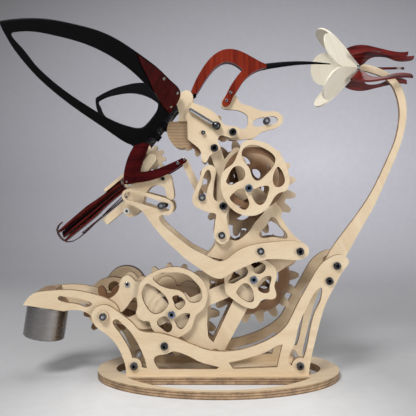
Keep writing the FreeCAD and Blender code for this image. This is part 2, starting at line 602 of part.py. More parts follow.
def knob():
    y2 = CRANK_WHEEL_Y + CRANK_WHEEL_T + KNOB_COLLAR_T + SIDE_GAP
    body = rod(KNOB_CENTRE, KNOB_R, y2, y2 + KNOB_T)
    rims = [e for e in body.Edges if isinstance(e.Curve, Part.Circle)]
    return bore(body.makeFillet(3.0, rims), KNOB_CENTRE, PIN_R + RUN)


# ---- bird: thorax, belly and hinge rods -------------------------------------------------------------------------------------
THORAX_PLATE = [
    (-40.5, 341.0, "K"), (-27.0, 335.0), (-13.0, 329.5), (-1.4, 320.5), (5.3, 311.5), (13.0, 308.5),
    (22.5, 307.0), (25.0, 299.0), (18.5, 293.6), (9.5, 295.6), (1.0, 296.2), (-1.0, 290.0), (1.6, 282.0),
    (-2.5, 275.6), (-9.5, 273.5), (-17.0, 263.6), (-20.5, 267.0), (-21.5, 276.0), (-26.0, 283.0),
    (-33.0, 288.5), (-37.5, 292.6, "K"), (-38.0, 314.0, "K"), (-42.5, 326.0),
]
CORE = [
    (-59.5, 314.4, "K"), (-26.0, 314.4, "K"), (-26.0, 292.0), (-36.0, 284.6), (-48.0, 282.0), (-57.0, 288.0),
]
PUSHROD_FROM = (-33.6, 327.1)
PUSHROD_TO = (-2.6, 308.1)
PUSHROD_R = 2.4
BALL_R = 4.6
THORAX_GEAR = (-18.7, 300.3)
THORAX_GEAR_TEETH = 12
THORAX_GEAR_R = 29.5
BELLY_PLATE = [
    (-100.4, 288.6, "K"), (-84.2, 287.6, "K"), (-87.1, 279.4), (-92.3, 265.4), (-95.8, 253.1, "K"),
    (-85.9, 253.8), (-73.2, 257.3), (-59.3, 263.1), (-47.8, 268.3), (-41.0, 269.6), (-38.8, 266.8),
    (-41.5, 263.8), (-59.3, 252.1), (-73.2, 245.6), (-90.6, 241.0), (-107.9, 238.7), (-115.8, 237.5, "K"),
    (-116.0, 244.4), (-112.7, 264.2), (-104.5, 282.7),
]
TAIL_FRAME = [
    (-112.9, 234.9, "K"), (-98.0, 240.5), (-74.0, 246.6), (-59.8, 249.4), (-57.0, 240.2), (-58.0, 219.1),
    (-62.6, 221.0), (-66.0, 232.5), (-71.0, 236.3), (-80.9, 235.6), (-88.8, 227.6), (-93.0, 214.0),
    (-98.0, 203.0), (-105.6, 197.8), (-113.7, 199.4), (-117.5, 206.4), (-115.4, 214.1), (-110.0, 222.0),
]
BELLY_GEAR = (-82.3, 269.4)
BELLY_GEAR_R = 12.8
BELLY_GEAR_TEETH = 10
BELLY_LINK_END = (-92.5, 256.0)
BELLY_LINK_R = 6.0
STRUT_FROM = (-42.0, 266.6)
STRUT_TO = (-22.0, 224.0)

WING_ORIGIN = V(-48.4, -30.0, 348.6)
WING_U = V(-0.6178, 0.0, -0.7863)
WING_N = V(-0.6534, 0.5562, 0.5134)
WING_V = V(-0.4374, -0.8310, 0.3437)
WING_T = 3.0
HINGE_V = -16.0
HINGE_R = 2.0
HINGE_FROM = -4.0
HINGE_TO = 84.0
KNUCKLE_R = 4.0
KNUCKLES = ((38.0, 46.0), (54.0, 62.0))
WING_OUTER = [
    (65.1, 238.7), (58.0, 231.4), (45.8, 216.3), (34.8, 198.9), (25.0, 178.8), (15.4, 156.7), (7.3, 130.7),
    (2.6, 104.0), (-0.6, 78.0), (-2.9, 50.1), (-3.2, 18.8), (-1.6, 0.0), (3.4, -6.4), (14.1, -9.0),
    (36.0, -10.4), (52.0, -10.2), (69.8, -6.6), (82.5, 4.7), (86.9, 22.8), (87.6, 43.9), (88.0, 70.0),
    (88.9, 104.2), (88.9, 126.6), (88.2, 147.9), (86.5, 169.3), (83.0, 191.4), (77.7, 213.7), (71.4, 231.0),
]
WING_INNER = [
    (66.7, 224.2), (54.6, 208.3), (45.3, 189.0), (36.4, 167.5), (28.6, 142.9), (22.9, 113.7), (20.4, 90.0),
    (19.8, 65.7), (20.7, 41.5), (24.0, 19.2), (32.1, 9.4), (46.0, 7.4), (59.2, 9.7), (67.5, 24.1),
    (73.2, 46.1), (77.4, 75.1), (79.4, 102.8), (80.4, 124.2), (80.6, 144.8), (79.7, 166.1), (77.2, 187.5),
    (72.4, 210.0),
]
WING_CAP = [
    (2.6, 92.3, "K"), (-1.8, 50.1), (-2.2, 18.8), (0.4, 1.0), (5.4, -4.6), (15.1, -7.6), (26.6, -8.6, "K"),
    (23.6, 18.6), (18.3, 41.7), (12.7, 59.8), (8.3, 76.3),
]
CAP_T = 2.0


def wing_place(u, v, lift=0.0):
    return WING_ORIGIN + WING_U * u + WING_V * v + WING_N * lift


def wing_frame(solid):
    """Move a solid drawn with x along u and z along v onto the near wing's plane."""
    m = FreeCAD.Matrix(WING_U.x, -WING_N.x, WING_V.x, WING_ORIGIN.x,
                       WING_U.y, -WING_N.y, WING_V.y, WING_ORIGIN.y,
                       WING_U.z, -WING_N.z, WING_V.z, WING_ORIGIN.z, 0, 0, 0, 1)
    place = FreeCAD.Placement(m)
    out = solid.copy()
    out.Placement = place.multiply(out.Placement)
    return out


def hinge_rod():
    start = wing_place(HINGE_FROM, HINGE_V)
    return Part.makeCylinder(HINGE_R, HINGE_TO - HINGE_FROM, start, WING_U)


def hinge_hole(clearance):
    start = wing_place(HINGE_FROM - 1, HINGE_V)
    return Part.makeCylinder(HINGE_R + clearance, HINGE_TO - HINGE_FROM + 2, start, WING_U)


def wing():
    blade = slab(outline(WING_OUTER), -WING_T / 2, WING_T / 2)
    blade = blade.cut(slab(outline(WING_INNER), -WING_T, WING_T))
    groove = Part.makeCylinder(HINGE_R + 1.0, 140, V(-30, 0, HINGE_V), V(1, 0, 0))
    blade = blade.cut(groove)
    for u0, u1 in KNUCKLES:
        tab = Part.makeBox(u1 - u0, WING_T, -4.0 - HINGE_V, V(u0, -WING_T / 2, HINGE_V))
        barrel = Part.makeCylinder(KNUCKLE_R, u1 - u0, V(u0, 0, HINGE_V), V(1, 0, 0))
        blade = blade.fuse([tab, barrel])
    blade = blade.removeSplitter().cut(Part.makeCylinder(HINGE_R + RUN, 200, V(-60, 0, HINGE_V), V(1, 0, 0)))
    return wing_frame(blade)


def wing_cap():
    return wing_frame(slab(outline(WING_CAP), WING_T / 2, WING_T / 2 + CAP_T))


POST_Y = 13.2
POST_T = 7.0
WING_POST = [
    (-50.0, 314.4, "K"), (-41.0, 314.4, "K"), (-35.5, 330.0), (-32.0, 347.0), (-37.0, 352.0), (-45.0, 350.0),
    (-51.5, 340.0), (-49.0, 328.0),
]


def wing_post(side):
    body = plate(WING_POST, POST_Y, POST_T, -1).cut(hinge_hole(SLIP))
    return body if side < 0 else mirror(body)


def belly(side):
    body = plate(BELLY_PLATE, BELLY_Y, PLY, -1).cut(hinge_hole(SLIP))
    body = bore(body, TAIL_PIN, STUB_R + SLIP)
    return body if side < 0 else mirror(body)


def thorax_plate(side):
    body = plate(THORAX_PLATE, THORAX_Y, PLY, side).cut(plate(WING_POST, THORAX_Y - 1, PLY + 2, side))
    body = bore(body, PITCH, STUB_R + RUN)
    body = bore(body, NOD, STUB_R + SLIP)
    return body


def thorax_gear():
    """Toothed sector behind the front plate, seated against it."""
    y0 = -THORAX_Y
    body = rod(THORAX_GEAR, THORAX_GEAR_R - 7, y0, y0 + PLY)
    for n in range(THORAX_GEAR_TEETH):
        spot = along(THORAX_GEAR, THORAX_GEAR_R - 6.5, 14 + 360.0 * n / THORAX_GEAR_TEETH)
        tip = along(THORAX_GEAR, THORAX_GEAR_R - 3.0, 14 + 360.0 * n / THORAX_GEAR_TEETH)
        body = body.fuse([rod(spot, 4.2, y0, y0 + PLY), rod(tip, 3.0, y0, y0 + PLY)])
    keep_out = [plate(CORE, 0, THORAX_Y + 1, -1), plate(WING_POST, 0, THORAX_Y + 1, -1)]
    return body.removeSplitter().cut(keep_out).cut(rod(PITCH, HUB_R, -THORAX_Y - 1, 0))


def belly_gear():
    """Small gear in the gap of the belly, seated on its link."""
    y0 = -TAIL_FRAME_Y
    body = rod(BELLY_GEAR, BELLY_GEAR_R, y0, y0 + PLY)
    for n in range(BELLY_GEAR_TEETH):
        tip = along(BELLY_GEAR, BELLY_GEAR_R + 1.5, 360.0 * n / BELLY_GEAR_TEETH)
        body = body.fuse(rod(tip, 2.8, y0, y0 + PLY))
    return body.removeSplitter()


def pushrod():
    """Silver rod with a ball joint at its front end, standing off the thorax plate on two studs."""
    y = -(THORAX_Y + PLY + BALL_R + SIDE_GAP)
    start, end = at(PUSHROD_FROM, y), at(PUSHROD_TO, y)
    way = end.sub(start)
    body = Part.makeCylinder(PUSHROD_R, way.Length, start, way)
    face = -(THORAX_Y + PLY)
    return body.fuse([Part.makeSphere(BALL_R, end), rod(PUSHROD_FROM, PUSHROD_R, y, face),
                      rod(PUSHROD_TO, PUSHROD_R, y, face)]).removeSplitter()


def nod_pin():
    outer = THORAX_Y + PLY
    inner = LEVER_T / 2 + SIDE_GAP
    half = [(inner, THORAX_Y, STUB_R + 2.5), (THORAX_Y, outer, STUB_R), (outer, outer + HEAD_T - 1, HEAD_R)]
    steps = [(-b, -a, r) for a, b, r in reversed(half)] + [(-inner, inner, STUB_R)] + half
    return spindle(NOD, steps)


def tail_pin():
    outer = BELLY_Y + PLY
    return spindle(TAIL_PIN, [(-outer - 2, -outer, HEAD_R), (-outer, outer, STUB_R), (outer, outer + 2, HEAD_R)])


def tail_frame(side):
    return plate(TAIL_FRAME, TAIL_FRAME_Y, PLY, side)


def body_strut():
    """Birch bar from the belly's arm down to the elbow link, whose pin is left open."""
    return strut(STRUT_FROM, 4.2, STRUT_TO, 4.2, TAIL_FRAME_Y, PLY, -1)


# ---- head, beak and lever ----------------------------------------------------------------------------------------
LEVER_T = 6.0
HEAD_PLATE_T = 5.0
HEAD = [
    (-34.5, 351.0, "K"), (-28.8, 365.4), (-23.1, 376.0), (-14.6, 388.8), (-3.1, 400.0), (8.0, 404.9),
    (19.8, 404.9), (32.8, 400.3), (46.1, 392.9), (59.3, 386.6, "K"), (59.3, 382.2, "K"), (42.7, 376.4),
    (31.3, 366.4), (22.9, 353.5), (17.1, 344.0), (13.0, 336.0), (8.0, 334.2), (4.4, 338.0), (6.7, 344.0),
    (13.0, 356.0), (21.6, 369.6), (29.7, 379.4, "K"), (20.8, 386.7), (10.5, 389.6), (-0.6, 385.4),
    (-9.3, 377.0), (-18.2, 364.4), (-27.5, 350.0, "K"),
]
NECK_LINK = [(-34.5, 351.6, "K"), (-44.0, 346.2, "K"), (-40.6, 339.8, "K"), (-27.8, 346.8, "K"),
             (-27.5, 350.4, "K")]
BEAK_STATIONS = [(56.0, 384.6, 3.9), (70.0, 386.6, 3.5), (88.0, 388.6, 2.9), (106.0, 389.6, 2.2),
                 (124.0, 389.3, 1.4), (139.9, 388.3, 0.6)]
LEVER = [
    (12.0, 350.5), (18.6, 351.6), (23.6, 345.4), (27.0, 339.6), (36.2, 336.2), (48.1, 331.5),
    (56.4, 328.8), (70.8, 328.6), (79.0, 323.5), (80.4, 316.7), (75.7, 310.3), (63.7, 305.6), (52.1, 301.5),
    (45.4, 296.3), (34.0, 293.9), (21.3, 292.8), (11.0, 295.4), (8.8, 303.0), (14.9, 308.8), (24.5, 308.6),
    (32.3, 307.0), (36.0, 311.0), (36.7, 318.3), (36.0, 323.0), (31.2, 327.1), (22.5, 330.4), (12.0, 331.0),
    (3.5, 334.6), (4.6, 342.0),
]
LEVER_SLOT = [
    (43.4, 316.3), (48.1, 319.6), (60.0, 321.6), (71.0, 321.8), (74.1, 318.2), (71.0, 314.0), (60.0, 312.0),
    (47.0, 309.7), (43.0, 312.0),
]


def head_plate(side):
    return plate(HEAD, LEVER_T / 2, HEAD_PLATE_T, side)


def lever():
    body = slab(outline(LEVER), -LEVER_T / 2, LEVER_T / 2)
    body = body.cut(slab(outline(LEVER_SLOT), -LEVER_T, LEVER_T))
    return bore(body, NOD, STUB_R + RUN)


def beak():
    """Black core of the head, which runs on into the bill."""
    core = slab(outline(HEAD), -LEVER_T / 2, LEVER_T / 2).fuse(
        slab(outline(NECK_LINK), -LEVER_T / 2, LEVER_T / 2))
    rings = [Part.Wire([Part.makeCircle(r, V(x, 0, z), V(1, 0, 0))]) for x, z, r in BEAK_STATIONS]
    bill = Part.makeLoft(rings, True)
    for side in (-1, 1):
        bill = bill.cut(head_plate(side))
    return core.cut(slab(outline(LEVER), -LEVER_T, LEVER_T)).fuse(bill).removeSplitter()


# ---- tail ----------------------------------------------------------------------------------------------------------
TAIL_DIR = V(-0.771, 0.0, -0.637)
TAIL_DOWN = V(0.637, 0.0, -0.771)
MOUNT_Y = 7.3
TAIL_FRAME_Y = BELLY_Y - PLY
MOUNT_HALF = 11.0
CHEEK_X = 38.0           # the upper cheek runs on along the feathers
UNDER_X = 52.5           # and a block runs below them
UNDER_Z = 16.0
FEATHER_ROOT = 14.0
FEATHER_LENGTH = 100.0
FEATHER_T = 1.7
FEATHER_PITCH = 2.0
FEATHER_HALF = 9.0
FEATHER_PIN_R = 2.0
FAN_STEP = 3.0


def tail_solid(solid):
    """Move a solid drawn with x along the tail and z across the stack onto the tail pin."""
    m = FreeCAD.Matrix(TAIL_DIR.x, 0, TAIL_DOWN.x, TAIL_PIN[0], 0, 1, 0, 0,
                       TAIL_DIR.z, 0, TAIL_DOWN.z, TAIL_PIN[1], 0, 0, 0, 1)
    out = solid.copy()
    out.Placement = FreeCAD.Placement(m).multiply(out.Placement)
    return out


def tail_mount():
    half_slot = 3.5 * FEATHER_PITCH + 0.3
    block = Part.makeBox(FEATHER_ROOT + 7.0, 2 * MOUNT_Y, 2 * MOUNT_HALF, V(0, -MOUNT_Y, -MOUNT_HALF))
    slot = Part.makeBox(FEATHER_ROOT + 7.0, 4 * MOUNT_Y, 2 * half_slot, V(7.5, -2 * MOUNT_Y, -half_slot))
    pin = Part.makeCylinder(FEATHER_PIN_R, 2 * MOUNT_HALF, V(FEATHER_ROOT, 0, -MOUNT_HALF), V(0, 0, 1))
    eye = Part.makeCylinder(MOUNT_HALF, 2 * MOUNT_Y, V(0, -MOUNT_Y, 0), V(0, 1, 0))
    cheek = Part.makeBox(CHEEK_X, 2 * MOUNT_Y, MOUNT_HALF - half_slot, V(0, -MOUNT_Y, -MOUNT_HALF))
    web = Part.makeBox(11.0, 2 * MOUNT_Y, UNDER_Z, V(10.0, -MOUNT_Y, half_slot))
    under = Part.makeBox(UNDER_X, 2 * MOUNT_Y, 9.5, V(10.0, -MOUNT_Y, UNDER_Z))
    solid = block.fuse(eye).cut(slot).fuse([pin, cheek, web, under])
    body = tail_solid(solid.removeSplitter())
    return bore(body, TAIL_PIN, STUB_R + RUN)


def feather(layer, fan):
    half = FEATHER_HALF
    shape = [(FEATHER_ROOT - 4.5, 0.0), (FEATHER_ROOT, 4.6), (FEATHER_ROOT + 22, 6.6),
             (FEATHER_ROOT + 0.62 * FEATHER_LENGTH, half), (FEATHER_ROOT + 0.93 * FEATHER_LENGTH, half * 0.8),
             (FEATHER_ROOT + 0.99 * FEATHER_LENGTH, half * 0.42), (FEATHER_ROOT + FEATHER_LENGTH, 0.0)]
    ring = [V(x, y, 0) for x, y in shape] + [V(x, -y, 0) for x, y in reversed(shape[1:-1])]
    curve = Part.BSplineCurve()
    curve.interpolate(Points=ring, PeriodicFlag=True)
    low = layer * FEATHER_PITCH - FEATHER_T / 2
    body = Part.Face(Part.Wire([curve.toShape()])).extrude(V(0, 0, FEATHER_T))
    body = body.cut(Part.makeCylinder(FEATHER_PIN_R + RUN, FEATHER_T + 2, V(FEATHER_ROOT, 0, -1), V(0, 0, 1)))
    body.translate(V(0, 0, low))
    body.rotate(V(FEATHER_ROOT, 0, 0), V(0, 0, 1), fan)
    return tail_solid(body)


# ---- stem and blossom ------------------------------------------------------------------------------------------------
STEM_T = 6.0
STEM = [
    (176.0, 386.4, "K"), (183.3, 387.0), (192.9, 384.9), (201.6, 381.9), (212.4, 376.0), (221.6, 368.2),
    (228.3, 358.0), (233.0, 343.9), (234.2, 322.4), (230.8, 300.8), (224.2, 280.0), (215.8, 259.6),
    (202.7, 229.8), (192.1, 207.0), (184.3, 193.6), (172.7, 173.1), (160.0, 150.0), (150.0, 133.0),
    (142.0, 119.0), (134.0, 111.5), (125.4, 113.0), (123.0, 121.0), (128.5, 134.0), (136.3, 149.6),
    (146.2, 165.1), (161.2, 185.0), (178.3, 208.2), (197.7, 241.1), (210.8, 269.5), (219.2, 289.5),
    (224.2, 309.0), (225.6, 330.8), (221.6, 350.0), (213.6, 364.6), (204.5, 371.8), (193.8, 376.1),
    (185.0, 378.6), (176.0, 381.0, "K"),
]
HUB_BLOSSOM_R = 5.0
HUB_BLOSSOM_FROM = -6.0
HUB_BLOSSOM_TO = 2.0
STAMEN_R = 1.0
STAMEN_LENGTH = 16.0
PETALS = 5
FIRST_PETAL = 8.0
PETAL_T = 2.0
PETAL_RUN = V(-48.0, 0.0, 46.0)
PETAL_SHAPE = [(1.0, 3.0), (12.0, 9.4), (30.0, 18.2), (46.0, 21.2), (60.0, 15.5), (66.5, 0.0)]
SEPAL_T = 3.0
SEPAL = [
    (1.5, 5.5, "K"), (6.0, 10.0), (9.0, 16.5), (13.0, 20.5), (23.0, 22.0), (31.0, 20.5), (43.0, 14.6),
    (51.0, 13.2), (63.5, 16.0, "K"), (64.5, 21.0, "K"), (56.0, 20.0), (40.0, 22.4), (23.0, 26.7),
    (11.0, 29.4), (-2.0, 29.0), (-13.0, 25.0, "K"),
]


def round_blossom(solid, n):
    out = solid.copy()
    out.translate(at(FLOWER, 0))
    out.rotate(at(FLOWER, 0), V(1, 0, 0), -90 + FIRST_PETAL + 360.0 * n / PETALS)
    return out


def petal():
    """Leaf of thin ply that leans forward from the hub, drawn upright."""
    along_way = V(PETAL_RUN).normalize()
    across = V(0, 1, 0)
    start = V(-1.0, 0, HUB_BLOSSOM_R - 1.0)
    ring = [start + along_way * t + across * w for t, w in PETAL_SHAPE]
    ring += [start + along_way * t - across * w for t, w in reversed(PETAL_SHAPE[:-1])]
    curve = Part.BSplineCurve()
    curve.interpolate(Points=ring[:-1] + [ring[-1]])
    edges = [curve.toShape(), Part.LineSegment(ring[-1], ring[0]).toShape()]
    normal = across.cross(along_way)
    if normal.x > 0:
        normal = normal * -1
    return Part.Face(Part.Wire(edges)).extrude(normal * PETAL_T)


def sepal():
    return slab(outline(SEPAL), -SEPAL_T / 2, SEPAL_T / 2)


def blossom_hub():
    body = Part.makeCylinder(HUB_BLOSSOM_R, HUB_BLOSSOM_TO - HUB_BLOSSOM_FROM,
                             at(FLOWER, 0) + V(HUB_BLOSSOM_FROM, 0, 0), V(1, 0, 0))
    wire = Part.makeCylinder(STAMEN_R, STAMEN_LENGTH, at(FLOWER, 0) + V(HUB_BLOSSOM_FROM - STAMEN_LENGTH, 0, -1),
                             V(1, 0, 0))
    return body.fuse([wire, Part.makeSphere(2.4, at(FLOWER, 0) + V(HUB_BLOSSOM_FROM - STAMEN_LENGTH, 0, -1))])


def stem():
    body = slab(outline(STEM), -STEM_T / 2, STEM_T / 2)
    for centre in STEM_SCREWS:
        body = bore(body, centre, ROD_R + SLIP)
    return body


def main():
    save("base", base())
    save("frame_front", frame(-1))
    save("frame_rear", frame(1))
    save("tie_rods", foot_rod(FOOT_LEFT), foot_rod(FOOT_RIGHT), *[tie_rod(c) for c in STEM_SCREWS])
    save("tower_front", tower(-1))
    save("tower_rear", tower(1))
    gap_tubes = [sleeve(TOWER_FOOT, 6.0, ROD_R + SLIP, a, b)
                 for a, b in ((-FRAME_Y, -TOWER_Y - PLY), (-TOWER_Y, TOWER_Y), (TOWER_Y + PLY, FRAME_Y))]
    for centre in STEM_SCREWS:
        gap_tubes += [sleeve(centre, 6.0, ROD_R + SLIP, a, b)
                      for a, b in ((-FRAME_Y, -STEM_T / 2), (STEM_T / 2, FRAME_Y))]
    gap_tubes += [sleeve(CRANK, BUSH_R, SHAFT_R + RUN, a, b)
                  for a, b in ((-FRAME_Y, -TOWER_Y - PLY), (TOWER_Y + PLY, FRAME_Y))]
    dowel = rod(TOWER_FOOT, ROD_R, -FRAME_Y - PLY, FRAME_Y + PLY)
    save("spacers", dowel, *gap_tubes)
    screws = []
    for centre, y in ((ROCKER, ROCKER_Y), (ELBOW, LINK_Y), (PITCH, THORAX_Y)):
        screws += [pivot_screw(centre, y, side) for side in (-1, 1)]
    save("pivot_screws", *screws)
    save("crank_pinion", gear(CRANK, TEETH_PINION, PINION_PHASE, 0))
    save("crank_shaft", crank_shaft())
    save("crank_wheel", crank_wheel())
    save("knob_pin", knob_pin())
    save("crank_knob", knob())
    save("left_gear", gear(LEFT, TEETH_LEFT, LEFT_PHASE, 7))
    save("left_rosette", lobed_wheel(LEFT, 44.0, 7))
    save("left_cam", cam(LEFT_CAM, LEFT_CAM_WINDOWS, LEFT, CAM_Y, -1))
    save("left_shaft", gear_shaft(LEFT, CAM_Y, 0))
    rosette = lobed_wheel(RIGHT, 39.0, 6, 30.0)
    save("right_gear", gear(RIGHT, TEETH_RIGHT, RIGHT_PHASE, 6).fuse(rosette).removeSplitter())
    save("right_cam", cam(RIGHT_CAM, RIGHT_CAM_WINDOWS, RIGHT, CAM_Y, -1))
    save("right_shaft", gear_shaft(RIGHT, CAM_Y, 0))
    save("upper_gear", gear(UPPER, TEETH_UPPER, UPPER_PHASE, 7))
    save("upper_rosette", lobed_wheel(UPPER, 42.0, 6))
    save("upper_cam_front", cam(UPPER_CAM, UPPER_CAM_WINDOWS, UPPER, UPPER_CAM_Y, -1))
    save("upper_cam_rear", cam(UPPER_CAM, UPPER_CAM_WINDOWS, UPPER, UPPER_CAM_Y, 1))
    save("upper_shaft", gear_shaft(UPPER, UPPER_CAM_Y, UPPER_CAM_Y))
    for side, word in ((-1, "front"), (1, "rear")):
        save("rocker_arm_" + word, rocker_arm(side))
        save("counter_arm_" + word, counter_arm(side))
        save("thorax_plate_" + word, thorax_plate(side))
        save("belly_plate_" + word, belly(side))
    save("elbow_links", elbow_link(-1), elbow_link(1))
    save("counter_head", plate(COUNTER_HEAD, 0, COUNTER_Y, -1).fuse(
        plate(COUNTER_HEAD, 0, COUNTER_Y, 1)).removeSplitter())
    save("counter_weight", weight())
    save("thorax_core", slab(outline(CORE), -THORAX_Y, THORAX_Y))
    save("thorax_gear", thorax_gear(), belly_gear())
    save("wing_posts", wing_post(-1), wing_post(1))
    save("hinge_rods", hinge_rod(), mirror(hinge_rod()))
    save("wing_near", wing())
    save("wing_near_cap", wing_cap())
    save("wing_far", mirror(wing()))
    save("wing_far_cap", mirror(wing_cap()))
    save("pushrod", pushrod())
    save("bird_pins", nod_pin(), tail_pin())
    save("head_plate_front", head_plate(-1))
    save("head_plate_rear", head_plate(1))
    save("beak", beak())
    save("head_lever", lever())
    belly_link = strut(BELLY_GEAR, BELLY_LINK_R, BELLY_LINK_END, BELLY_LINK_R - 0.1, TAIL_FRAME_Y)
    save("tail_frame", tail_frame(-1), tail_frame(1), belly_link)
    save("body_strut", body_strut())
    save("tail_mount", tail_mount())
    save("tail_feather_middle", feather(0, 0))
    save("tail_feathers_near", *[feather(layer, -FAN_STEP * abs(layer)) for layer in (1, -2, 3)])
    save("tail_feathers_far", *[feather(layer, FAN_STEP * abs(layer)) for layer in (-1, 2, -3)])
    save("stem", stem())
    hub = blossom_hub()
    save("blossom_hub", hub)
    save("petals", *[round_blossom(petal(), n).cut(hub) for n in range(PETALS)])
    save("sepals", *[round_blossom(sepal(), n).cut(hub) for n in range(PETALS)])


main()
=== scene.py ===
"""Finishes of the crank automaton: birch ply, red hardwood, black wings, steel and its small screws."""

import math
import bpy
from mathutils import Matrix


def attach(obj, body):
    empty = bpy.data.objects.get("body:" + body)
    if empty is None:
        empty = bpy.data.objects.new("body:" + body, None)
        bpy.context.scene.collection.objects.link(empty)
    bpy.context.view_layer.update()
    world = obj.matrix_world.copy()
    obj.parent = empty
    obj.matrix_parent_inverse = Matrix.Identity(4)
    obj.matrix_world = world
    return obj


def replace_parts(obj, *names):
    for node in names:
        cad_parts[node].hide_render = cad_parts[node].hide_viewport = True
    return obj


bl_info = {
    "name": "Hummingbird Automaton Finishes",
    "version": (1, 0, 0),
    "blender": (4, 5, 0),
    "location": "View3D > Sidebar > Automaton",
    "description": "Dresses the crank automaton with its woods, metals and fasteners",
    "category": "Object",
}

import bmesh
import bpy
from mathutils import Matrix, Vector

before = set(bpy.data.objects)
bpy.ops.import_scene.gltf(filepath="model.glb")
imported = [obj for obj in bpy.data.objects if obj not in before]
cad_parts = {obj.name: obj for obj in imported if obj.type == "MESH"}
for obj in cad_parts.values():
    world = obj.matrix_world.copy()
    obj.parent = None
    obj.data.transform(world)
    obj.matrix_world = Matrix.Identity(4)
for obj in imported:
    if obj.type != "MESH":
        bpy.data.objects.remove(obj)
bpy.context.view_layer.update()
MM = 0.001
FORWARDS = (0, -1, 0)

# Axes of the wheels as (x, z), in mm.
LEFT_AXIS = (-57.0, 80.0)
RIGHT_AXIS = (42.38, 122.29)
UPPER_AXIS = (35.89, 233.1)
CRANK_AXIS = (-138.0, 80.0)
THORAX_AXIS = (-18.7, 300.3)


# ---- settings -------------------------------------------------------------------------------------------
def colour(name, text, value):
    """Setting for a colour."""
    return bpy.props.FloatVectorProperty(name=name, description=text, default=value, subtype="COLOR",
                                         size=4, min=0.0, max=1.0)


def length(name, text, millimetres):
    """Setting for a length."""
    return bpy.props.FloatProperty(name=name, description=text, default=millimetres * MM, unit="LENGTH")


class AutomatonWoods(bpy.types.PropertyGroup):
    """Colours of the woods and thicknesses of their veneers."""
    birch_light: colour("Birch light", "Pale fibres of the birch faces", (0.84, 0.685, 0.475, 1))
    birch_dark: colour("Birch dark", "Darker fibres of the birch faces", (0.71, 0.535, 0.335, 1))
    edge_light: colour("Edge light", "Pale veneers of a cut edge", (0.60, 0.42, 0.245, 1))
    edge_dark: colour("Edge dark", "Cross veneers and glue lines of a cut edge", (0.25, 0.135, 0.062, 1))
    char: colour("Char", "Wood burnt by the laser", (0.075, 0.033, 0.017, 1))
    # Painted shade that darkens the inner wheels' faces round their hubs, with some real browning by the
    # laser.
    darkening: colour("Shade and laser browning", "Browning of the inner wheels' faces", (0.31, 0.20, 0.135, 1))
    sepal_light: colour("Sepal light", "Bright stripes of the polished sepals", (0.22, 0.020, 0.014, 1))
    red_light: colour("Red light", "Bright stripes of the red hardwood", (0.09, 0.006, 0.006, 1))
    red_dark: colour("Red dark", "Dark stripes of the red hardwood", (0.028, 0.0025, 0.0035, 1))
    red_pore: colour("Red pores", "Pores of the red hardwood", (0.02, 0.004, 0.003, 1))
    feather_light: colour("Feather light", "Bright stripes of the red tail feathers", (0.15, 0.018, 0.011, 1))
    head_light: colour("Head light", "Bright stripes of the head's facing", (0.30, 0.036, 0.015, 1))
    head_dark: colour("Head dark", "Dark stripes of the head's facing", (0.12, 0.012, 0.007, 1))
    petal_light: colour("Petal", "Thin pale wood of the petals", (1.0, 0.94, 0.78, 1))
    petal_grain: colour("Petal grain", "Fine grain lines of the petals", (0.93, 0.82, 0.64, 1))
    black: colour("Black", "Black satin of the wings and the bill", (0.0045, 0.0045, 0.0055, 1))
    black_fibre: colour("Black fibre", "Fibres that show in the black wood", (0.007, 0.0065, 0.007, 1))
    veneer: length("Veneer", "Thickness of one veneer of the ply", 0.95)
    base_veneer: length("Base veneer", "Thickness of one veneer of the base", 1.5)
    core_veneer: length("Core veneer", "Thickness of one veneer of the bird's core block", 0.9)


class AutomatonMetals(bpy.types.PropertyGroup):
    """Colours of the metals and sizes of the screw heads."""
    steel: colour("Steel", "Bright turned steel", (0.62, 0.62, 0.63, 1))
    rod_steel: colour("Rod steel", "Polished steel of the pushrod", (0.86, 0.86, 0.87, 1))
    dark_steel: colour("Dark steel", "Brushed steel of the weight", (0.34, 0.32, 0.31, 1))
    hinge_black: colour("Hinge black", "Blackened hinge rods", (0.0045, 0.0045, 0.0055, 1))
    oxide: colour("Black oxide", "Blackened socket screws", (0.045, 0.045, 0.05, 1))
    oxide_mottle: colour("Oxide mottle", "Worn spots of blackened steel", (0.13, 0.13, 0.135, 1))
    # The bright insides of the sockets are a painted glint in the heads.
    socket: colour("Sockets", "Bright insides of the sockets", (0.55, 0.55, 0.56, 1))
    grey_screw: colour("Grey screws", "Plain steel screws of the feet and the crank", (0.14, 0.14, 0.15, 1))
    blue_screw: colour("Blue screws", "Blued steel screws of the cam hubs", (0.26, 0.31, 0.40, 1))
    pale_washer: colour("Pale washer", "Washer of the tail frame", (0.78, 0.77, 0.74, 1))
    pale_mottle: colour("Pale mottle", "Mottle of the tail frame's washer", (0.66, 0.65, 0.62, 1))
    head_radius: length("Screw head radius", "Radius of a socket screw's head", 4.55)
    head_height: length("Screw head height", "Height of a socket screw's head", 3.6)
    washer_radius: length("Washer radius", "Radius of the washer under a head", 4.75)
    washer_height: length("Washer height", "Thickness of the washer under a head", 0.5)


